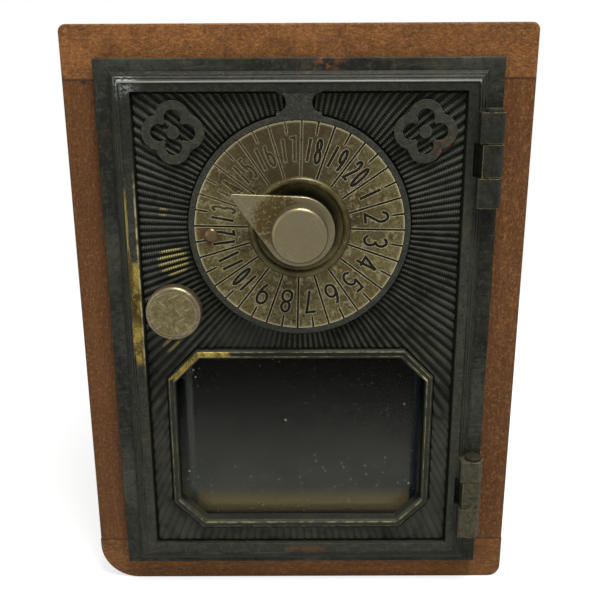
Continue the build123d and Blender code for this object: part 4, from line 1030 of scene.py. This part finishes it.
def bead_round_door(name, inset, out, radius, material):
    """A fine raised bead along the door's edge, open where the hinges cross it."""
    side = -DOOR_LEFT - inset
    top = DOOR_TOP - inset
    bottom = DOOR_BOTTOM + inset
    spans = [(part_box(pin)[0].z / MM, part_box(pin)[1].z / MM) for pin in ("hinge_pin_lower", "hinge_pin_upper")]
    (low_start, low_end), (high_start, high_end) = spans
    long_way = [
        (side, high_end, -1, 0), (side, top, -1, -1), (-side, top, 1, -1),
        (-side, bottom, 1, 1), (side, bottom, -1, 1), (side, low_start, -1, 0),
    ]
    short_way = [(side, low_end, -1, 0), (side, high_start, -1, 0)]
    points, faces = [], []
    sides = 8
    for stations in (long_way, short_way):
        start = len(points)
        for x, z, inward_x, inward_z in stations:
            for step in range(sides):
                turn = 2 * pi * step / sides
                inward = radius * cos(turn)
                points.append((x + inward * inward_x, out + radius * sin(turn), z + inward * inward_z))
        for ring in range(len(stations) - 1):
            for step in range(sides):
                a = start + ring * sides + step
                b = start + ring * sides + (step + 1) % sides
                faces.append((a, b, b + sides, a + sides))
        faces.append(tuple(range(start + sides - 1, start - 1, -1)))
        end = start + (len(stations) - 1) * sides
        faces.append(tuple(range(end, end + sides)))
    return mesh_piece(name, points, faces, material, "door")


def field_bounds():
    """Left, right, bottom and top of the recessed field."""
    size = sizes()
    left = DOOR_LEFT + size.field_side
    return left, -left, DOOR_BOTTOM + size.field_bottom, DOOR_TOP - size.field_top


def octagon_distance(x, z, width, tall, corner):
    """How far points lie outside a rectangle with cut corners, negative inside it."""
    across = np.abs(x) - width / 2
    up = np.abs(z) - tall / 2
    cut = (across + up + corner) / ROOT_TWO
    return np.maximum(np.maximum(across, up), cut)


def field_room(x, z):
    """Room in millimetres between a point of the field and what bounds it."""
    size = sizes()
    left, right, bottom, top = field_bounds()
    radius = np.hypot(x - DIAL_X, z - DIAL_Z)
    room = np.minimum(np.minimum(x - left, right - x), np.minimum(z - bottom, top - z))
    room = np.minimum(room, radius - DIAL_RADIUS - size.ring_width)
    bezel = octagon_distance(x, z - WINDOW_Z, size.bezel_width, size.bezel_tall, size.bezel_corner)
    room = np.minimum(room, bezel)
    room = np.minimum(room, np.hypot(x - LATCH_X, z - LATCH_Z) - size.latch_clear)
    flare = size.bridge_flare
    ring = DIAL_RADIUS + size.ring_width
    over = z - DIAL_Z - np.sqrt(np.maximum(ring ** 2 - x ** 2, 0))
    under = top - z
    near = np.minimum(over, under)
    hollow = np.where(near < flare, flare - np.sqrt(np.maximum(flare ** 2 - (flare - near) ** 2, 0)), 0)
    bridge = np.where(z > DIAL_Z, np.abs(x) - size.bridge_half - hollow, np.inf)
    return np.minimum(room, bridge)


def smooth(value, low, high):
    """0 below low, 1 above high, and a smooth rise between."""
    share = np.clip((value - low) / (high - low), 0, 1)
    return share * share * (3 - 2 * share)


def relief_height(x, z, radius, angle):
    """Height of the sunburst's ridges above the field, in millimetres: one ridge near the dial becomes two
    further out, and a spot below the latch is rubbed nearly flat."""
    size = sizes()
    split_start, split_end = -2, 3
    fine_rise = 0.44
    spot_right, spot_down, spot_wide, spot_tall = 16.5, 10.5, 9, 7
    least, rubbed_rise = 0.25, 0.14
    phase = angle * size.ridge_count / (2 * pi)
    single = (0.5 + 0.5 * np.cos(2 * pi * phase)) ** 0.8
    double = (0.5 + 0.5 * np.cos(4 * pi * phase)) ** 0.6
    split = smooth(radius, size.ridge_split + split_start, size.ridge_split + split_end)
    faded = np.hypot((x - LATCH_X - spot_right) / spot_wide, (z - LATCH_Z + spot_down) / spot_tall)
    sharp = smooth(faded, 0.55, 1.35)
    ridge = single * size.ridge_rise
    ridge = ridge * (least + (1 - least) * sharp) + rubbed_rise * (1 - sharp)
    fine = size.split_base + double * fine_rise
    return ridge * (1 - split) + fine * split


class BOXDOOR_OT_sunburst(Operator):
    """Rope-like ridges that spread from the dial over the recessed field"""

    bl_idname = "boxdoor.sunburst"
    bl_label = "Sunburst Relief"

    def execute(self, context):
        size = sizes()
        _, right, bottom, _ = field_bounds()
        turns = size.ridge_count * size.ridge_samples
        first = DIAL_RADIUS + size.ring_width
        reach = hypot(right, DIAL_Z - bottom)
        radius = np.arange(first, reach, size.ridge_step)
        angle = 2 * pi * np.arange(turns) / turns
        rr, aa = np.meshgrid(radius, angle, indexing="ij")
        x = DIAL_X + rr * np.cos(aa)
        z = DIAL_Z + rr * np.sin(aa)
        room = field_room(x, z)
        height = relief_height(x, z, rr, aa)
        edge_start, edge_end, least_room, valley = 0.06, 0.55, 0.02, 0.02
        out = FIELD_FRONT - size.sink + smooth(room, edge_start, edge_end) * (size.sink + valley + height)
        keep = room > least_room
        index = -np.ones(x.shape, int)
        index[keep] = np.arange(keep.sum())
        points = np.stack([x[keep], out[keep], z[keep]], 1)
        a = index[:-1, :]
        b = index[1:, :]
        c = np.roll(b, -1, 1)
        d = np.roll(a, -1, 1)
        whole = (a >= 0) & (b >= 0) & (c >= 0) & (d >= 0)
        faces = np.stack([a[whole], b[whole], c[whole], d[whole]], 1)
        material = sunburst_finish("blackened_sunburst")
        piece = mesh_piece("sunburst_relief", points.tolist(), faces.tolist(), material, "door")
        thicken(piece, RELIEF_DEPTH)
        return {"FINISHED"}


def thicken(piece, depth):
    """Closes an open sheet by a wall that goes back into what carries it."""
    solid = piece.modifiers.new("closed", "SOLIDIFY")
    solid.thickness = depth * MM
    solid.offset = -1
    solid.use_even_offset = False


def arc(x, y, wide, tall, start, end, steps=14):
    """Points along an arc of an oval, from start to end degrees."""
    angles = [radians(start + (end - start) * step / steps) for step in range(steps + 1)]
    return [(x + wide * cos(angle), y + tall * sin(angle)) for angle in angles]


def figure_strokes(figure):
    """The strokes of a figure, in a box one unit wide and one unit tall round its middle."""
    low_bowl = arc(0, -0.21, 0.5, 0.29, 0, 360, 24)
    six = [low_bowl, arc(0.72, -0.21, 1.22, 0.86, 180, 129)]
    return {
        "0": [arc(0, 0, 0.5, 0.5, 0, 360, 28)],
        "1": [[(0, 0.5), (0, -0.5)]],
        "2": [arc(0, 0.22, 0.48, 0.28, 170, -35) + [(-0.5, -0.5), (0.5, -0.5)]],
        "3": [arc(0, 0.25, 0.44, 0.25, 155, -90), arc(0, -0.24, 0.5, 0.26, 90, -155)],
        "4": [[(0.2, 0.5), (-0.52, -0.2), (0.56, -0.2)], [(0.2, 0.5), (0.2, -0.5)]],
        "5": [[(0.42, 0.5), (-0.38, 0.5), (-0.42, 0.06)] + arc(0, -0.19, 0.5, 0.31, 135, -140)],
        "6": six,
        "7": [[(-0.48, 0.5), (0.5, 0.5), (-0.12, -0.5)]],
        "8": [arc(0, 0.26, 0.42, 0.24, 0, 360, 24), arc(0, -0.24, 0.5, 0.26, 0, 360, 24)],
        "9": [[(-x, -y) for x, y in stroke] for stroke in six],
    }[figure]


def unit(x, y):
    size = hypot(x, y) or 1.0
    return x / size, y / size


def stroke_prism(whole, points, half, low, high):
    """Adds to a bmesh a bar of a stroke's width between the depths low and high."""
    closed = hypot(points[0][0] - points[-1][0], points[0][1] - points[-1][1]) < 1e-6
    if closed:
        points = points[:-1]
    count = len(points)
    rails = []
    for index, (x, y) in enumerate(points):
        before = points[index - 1] if closed or index else None
        after = points[(index + 1) % count] if closed or index < count - 1 else None
        if before is None:
            before = (2 * x - after[0], 2 * y - after[1])
        if after is None:
            after = (2 * x - before[0], 2 * y - before[1])
        first = unit(x - before[0], y - before[1])
        second = unit(after[0] - x, after[1] - y)
        along = unit(first[0] + second[0], first[1] + second[1])
        spread = half / max(along[0] * first[0] + along[1] * first[1], 0.5)
        side = (-along[1] * spread, along[0] * spread)
        rails.append([
            whole.verts.new((x + side[0] * s, depth, y + side[1] * s))
            for s, depth in ((1, low), (-1, low), (-1, high), (1, high))
        ])
    last = count if closed else count - 1
    for index in range(last):
        a, b = rails[index], rails[(index + 1) % count]
        for side in range(4):
            whole.faces.new((a[side], a[(side + 1) % 4], b[(side + 1) % 4], b[side]))
    if not closed:
        whole.faces.new(rails[0][::-1])
        whole.faces.new(rails[-1])


def cutter(name, whole):
    """A mesh object that cuts another and is removed afterwards; sizes in the bmesh are millimetres."""
    bmesh.ops.scale(whole, vec=(MM, MM, MM), verts=whole.verts)
    bmesh.ops.recalc_face_normals(whole, faces=whole.faces)
    mesh = bpy.data.meshes.new(name)
    whole.to_mesh(mesh)
    whole.free()
    tool = bpy.data.objects.new(name, mesh)
    bpy.context.scene.collection.objects.link(tool)
    return tool


def number_cutter(text, turn):
    """The strokes of a number, at its place on the dial, its foot towards the centre."""
    size = sizes()
    front = WOOD_FACE_Y / MM - DIAL_FRONT
    wide = size.figure_width if len(text) == 1 else size.pair_width
    pitch = wide + size.figure_gap
    tall = size.numeral_height - size.stroke
    whole = bmesh.new()
    for index, figure in enumerate(text):
        middle = (index - (len(text) - 1) / 2) * pitch
        for stroke in figure_strokes(figure):
            points = [(middle + x * (wide - size.stroke), y * tall) for x, y in stroke]
            stroke_prism(whole, points, size.stroke / 2, size.engraving, CUT_FRONT)
    spot = Vector((DIAL_X + size.numeral_radius * sin(turn), front, DIAL_Z + size.numeral_radius * cos(turn)))
    place = Matrix.Translation(spot) @ Matrix.Rotation(turn, 4, "Y")
    bmesh.ops.transform(whole, matrix=place, verts=whole.verts)
    return cutter("number_" + text, whole)


def line_cutter(turn, inner, outer):
    """A straight groove across the dial between two radii."""
    size = sizes()
    front = WOOD_FACE_Y / MM - DIAL_FRONT
    whole = bmesh.new()
    deeper = 0.04
    stroke_prism(whole, [(0, inner), (0, outer)], size.dial_line / 2, size.engraving + deeper, CUT_FRONT)
    place = Matrix.Translation(Vector((DIAL_X, front, DIAL_Z))) @ Matrix.Rotation(turn, 4, "Y")
    bmesh.ops.transform(whole, matrix=place, verts=whole.verts)
    return cutter("line", whole)


def domed_head(name, x, z, radius, foot, top, material):
    """A rivet's round head, on a foot that goes through what it holds."""
    columns, rings = 28, 8
    dome, rim = radius * 0.58, 0.3
    shoulder = top - dome
    neck, under = radius * 0.6, shoulder - rim
    profile = [(neck, foot), (neck, under), (radius, under), (radius, shoulder)]
    for ring in range(1, rings):
        angle = pi / 2 * ring / rings
        profile.append((radius * cos(angle), shoulder + (top - shoulder) * sin(angle)))
    points = []
    for reach, out in profile:
        for column in range(columns):
            turn = 2 * pi * column / columns
            points.append((x + reach * cos(turn), out, z + reach * sin(turn)))
    faces = []
    for ring in range(len(profile) - 1):
        for column in range(columns):
            a = ring * columns + column
            b = ring * columns + (column + 1) % columns
            faces.append((a, b, b + columns, a + columns))
    faces.append(tuple(range(columns - 1, -1, -1)))
    last = len(points)
    points.append((x, top, z))
    start = (len(profile) - 1) * columns
    faces.extend((start + column, start + (column + 1) % columns, last) for column in range(columns))
    return mesh_piece(name, points, faces, material, "door")


class BOXDOOR_OT_dial(Operator):
    """Aged dial with its engraved numbers, the cup and the rivet"""

    bl_idname = "boxdoor.dial"
    bl_label = "Dial"

    def execute(self, context):
        size = sizes()
        step = radians(360 / NUMBERS)
        edge_line, past_edge, past_cup = 2.7, 1, 0.4
        plate = bpy.data.objects.new("engraved_dial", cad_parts["dial_plate"].data.copy())
        context.scene.collection.objects.link(plate)
        cutters = []
        for index in range(NUMBERS):
            turn = size.first_number + index * step
            cutters.append(number_cutter(str(index + 1), turn))
            cutters.append(line_cutter(turn, DIAL_RADIUS - edge_line, DIAL_RADIUS + past_edge))
            cutters.append(line_cutter(turn + step / 2, CUP_RADIUS - past_cup, DIAL_RADIUS + past_edge))
        tools = bpy.data.collections.new("dial_cutters")
        context.scene.collection.children.link(tools)
        for tool in cutters:
            context.scene.collection.objects.unlink(tool)
            tools.objects.link(tool)
        cut = plate.modifiers.new("engraving", "BOOLEAN")
        cut.operation = "DIFFERENCE"
        cut.operand_type = "COLLECTION"
        cut.collection = tools
        cut.solver = "EXACT"
        engraved = bpy.data.meshes.new_from_object(plate.evaluated_get(context.evaluated_depsgraph_get()))
        plate.modifiers.clear()
        plate.data = engraved
        for tool in cutters:
            bpy.data.objects.remove(tool)
        bpy.data.collections.remove(tools)
        engraved.materials.clear()
        engraved.materials.append(dial_finish("dial_brass"))
        engraved.polygons.foreach_set("material_index", [0] * len(engraved.polygons))
        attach(plate, "door")
        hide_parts("dial_plate")
        dress(["dial_cup"], brass_finish("cup_brass", CUP_BRASS, colours().dial_stain, 0.28, 0.3, cup_shade))
        rivet_brass = brass_finish("rivet_brass", RIVET_BRASS, RIVET_STAIN, 0.16, 0.1, rub=0.04)
        low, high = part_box("dial_rivet")
        radius = (high.x - low.x) / 2 / MM
        middle = (low + high) / 2 / MM
        foot, top = out_of(high.y), out_of(low.y)
        rivet = domed_head("rivet_head", middle.x, middle.z, radius, foot, top, rivet_brass)
        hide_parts("dial_rivet")
        return {"FINISHED"}


class BOXDOOR_OT_knobs(Operator):
    """Worn nickel on the pointer, the dial knob and the latch knob"""

    bl_idname = "boxdoor.knobs"
    bl_label = "Pointer and Knobs"

    def execute(self, context):
        dress(["pointer"], nickel_finish("pointer_nickel", 0.3, 0.10, stain=knob_corrosion, dull=0.25))
        dress(["dial_knob"], nickel_finish("knob_nickel", 0.15, 0.15))
        dress(["latch_knob"], nickel_finish("latch_nickel", 0.6, 0.3, rings=latch_rings))
        return {"FINISHED"}


class BOXDOOR_OT_window(Operator):
    """Dusty bevelled glass and the plate that holds it"""

    bl_idname = "boxdoor.window"
    bl_label = "Window"

    def execute(self, context):
        dress(["window_glass"], glass_finish("old_glass"))
        dress(["glass_retainer"], lock_finish("retainer_brass", RETAINER_BRASS, 0.50, 0.2, 0.8))
        return {"FINISHED"}


class BOXDOOR_OT_lock(Operator):
    """Turned brass and steel on the lock behind the door, and the screws"""

    bl_idname = "boxdoor.lock"
    bl_label = "Lock and Screws"

    def execute(self, context):
        tint = colours()
        brass = lock_finish("lock_brass", tint.turned_brass, 0.32, 0.85)
        steel = lock_finish("lock_steel", tint.steel, 0.34, 0.85, 0.4)
        dress([
            "dial_cup_nut", "drive_cam", "wheel_front", "wheel_middle", "wheel_rear", "lock_pillars",
            "lock_plate", "fence_lever", "latch_tongue", "latch_cam", "back_screws",
        ], brass)
        dress([
            "dial_spindle", "spindle_collar", "wheel_washers", "lock_plate_screws", "retainer_screws",
            "frame_screws", "fence_pivot", "fence_spring", "latch_spindle", "latch_nut", "latch_washer",
        ], steel)
        return {"FINISHED"}


def sees_background(finish):
    """1 for the rays that show the pale background: the camera's, and those by gloss or through glass."""
    camera, glossy, through = (
        finish.add("ShaderNodeLightPath", output=f"Is {kind} Ray")
        for kind in ("Camera", "Glossy", "Transmission")
    )
    return camera.at_least(glossy).at_least(through)


class BOXDOOR_OT_studio(Operator):
    """Floor, soft lamps, pale surroundings and camera"""

    bl_idname = "boxdoor.studio"
    bl_label = "Studio"

    def execute(self, context):
        shot = studio()
        scene = context.scene
        scene.view_settings.view_transform = "Standard"
        floor_finish = Finish("pale_floor")
        plain = floor_finish.add("ShaderNodeBsdfDiffuse", {}, {"Color": colours().floor})
        lift = floor_finish.add("ShaderNodeEmission", {}, {"Color": WHITE, "Strength": 1.0})
        fade_start, fade_end, near_share = 60, 340, 0.72
        fade = floor_finish.distance_on_floor().rise(fade_start, fade_end).at_least(near_share)
        share = sees_background(floor_finish) * fade
        floor_finish.close(floor_finish.add("ShaderNodeMixShader", {}, {0: share, 1: plain, 2: lift}))
        half = 3.0
        mesh = bpy.data.meshes.new("floor")
        corners = [(-half, -half, 0), (half, -half, 0), (half, half, 0), (-half, half, 0)]
        mesh.from_pydata(corners, [], [(0, 1, 2, 3)])
        mesh.materials.append(floor_finish.material)
        floor = bpy.data.objects.new("floor", mesh)
        scene.collection.objects.link(floor)

        world = bpy.data.worlds.new("pale_surroundings")
        world.use_nodes = True
        scene.world = world
        air = Nodes(world.node_tree)
        surround = air.add("ShaderNodeBackground", {}, {"Color": WHITE, "Strength": shot.ambient})
        white = air.add("ShaderNodeBackground", {}, {"Color": WHITE, "Strength": 1.0})
        mixed = air.add("ShaderNodeMixShader", {}, {0: sees_background(air), 1: surround, 2: white})
        air.close(mixed, "ShaderNodeOutputWorld")

        target = Vector((0, WOOD_FACE_Y, LID_HIGH.z / 2))
        lamps = (
            ("key_lamp", (0.10, -0.26, 0.64), shot.key, 0.22),
            ("fill_lamp", (-0.50, -0.55, 0.20), shot.fill, 0.40),
            ("rear_lamp", (-0.30, 0.75, 0.55), shot.rear, 0.40),
        )
        for name, place, power, width in lamps:
            light = bpy.data.lights.new(name, "AREA")
            light.shape = "SQUARE"
            light.size = width
            light.energy = power
            lamp = bpy.data.objects.new(name, light)
            lamp.location = place
            lamp.rotation_euler = (target - Vector(place)).to_track_quat("-Z", "Y").to_euler()
            scene.collection.objects.link(lamp)

        lens = bpy.data.cameras.new("camera")
        lens.lens = shot.lens
        lens.sensor_width = 36
        lens.clip_start = 0.005
        camera = bpy.data.objects.new("camera", lens)
        turn = Matrix.Rotation(shot.yaw, 4, "Z") @ Matrix.Rotation(pi / 2 - shot.pitch, 4, "X")
        place = Matrix.Translation(Vector((shot.camera_x, shot.camera_y, shot.camera_z)) * MM)
        camera.matrix_world = place @ turn @ Matrix.Rotation(shot.roll, 4, "Z")
        scene.collection.objects.link(camera)
        scene.camera = camera
        return {"FINISHED"}


class BOXDOOR_PT_panel(Panel):
    """Buttons for each group of pieces, and their sizes and colours"""

    bl_idname = "BOXDOOR_PT_panel"
    bl_label = "Box Door"
    bl_space_type = "VIEW_3D"
    bl_region_type = "UI"
    bl_category = "Box Door"

    def draw(self, context):
        for step in STEPS:
            self.layout.operator(step.bl_idname)
        for group in (sizes(), colours(), studio()):
            box = self.layout.box()
            for name in group.__annotations__:
                box.prop(group, name)


STEPS = (
    BOXDOOR_OT_studio,
    BOXDOOR_OT_wood,
    BOXDOOR_OT_casting,
    BOXDOOR_OT_sunburst,
    BOXDOOR_OT_dial,
    BOXDOOR_OT_knobs,
    BOXDOOR_OT_window,
    BOXDOOR_OT_lock,
)
GROUPS = (BoxDoorSizes, BoxDoorColours, BoxDoorStudio)


def register():
    for group in (*GROUPS, *STEPS, BOXDOOR_PT_panel):
        bpy.utils.register_class(group)
    bpy.types.Scene.box_door_sizes = PointerProperty(type=BoxDoorSizes)
    bpy.types.Scene.box_door_colours = PointerProperty(type=BoxDoorColours)
    bpy.types.Scene.box_door_studio = PointerProperty(type=BoxDoorStudio)


def unregister():
    del bpy.types.Scene.box_door_studio
    del bpy.types.Scene.box_door_colours
    del bpy.types.Scene.box_door_sizes
    for group in reversed((*GROUPS, *STEPS, BOXDOOR_PT_panel)):
        bpy.utils.unregister_class(group)


def main():
    register()
    bpy.ops.boxdoor.studio()
    bpy.ops.boxdoor.wood()
    bpy.ops.boxdoor.casting()
    bpy.ops.boxdoor.sunburst()
    bpy.ops.boxdoor.dial()
    bpy.ops.boxdoor.knobs()
    bpy.ops.boxdoor.window()
    bpy.ops.boxdoor.lock()


if __name__ == "__main__":
    main()
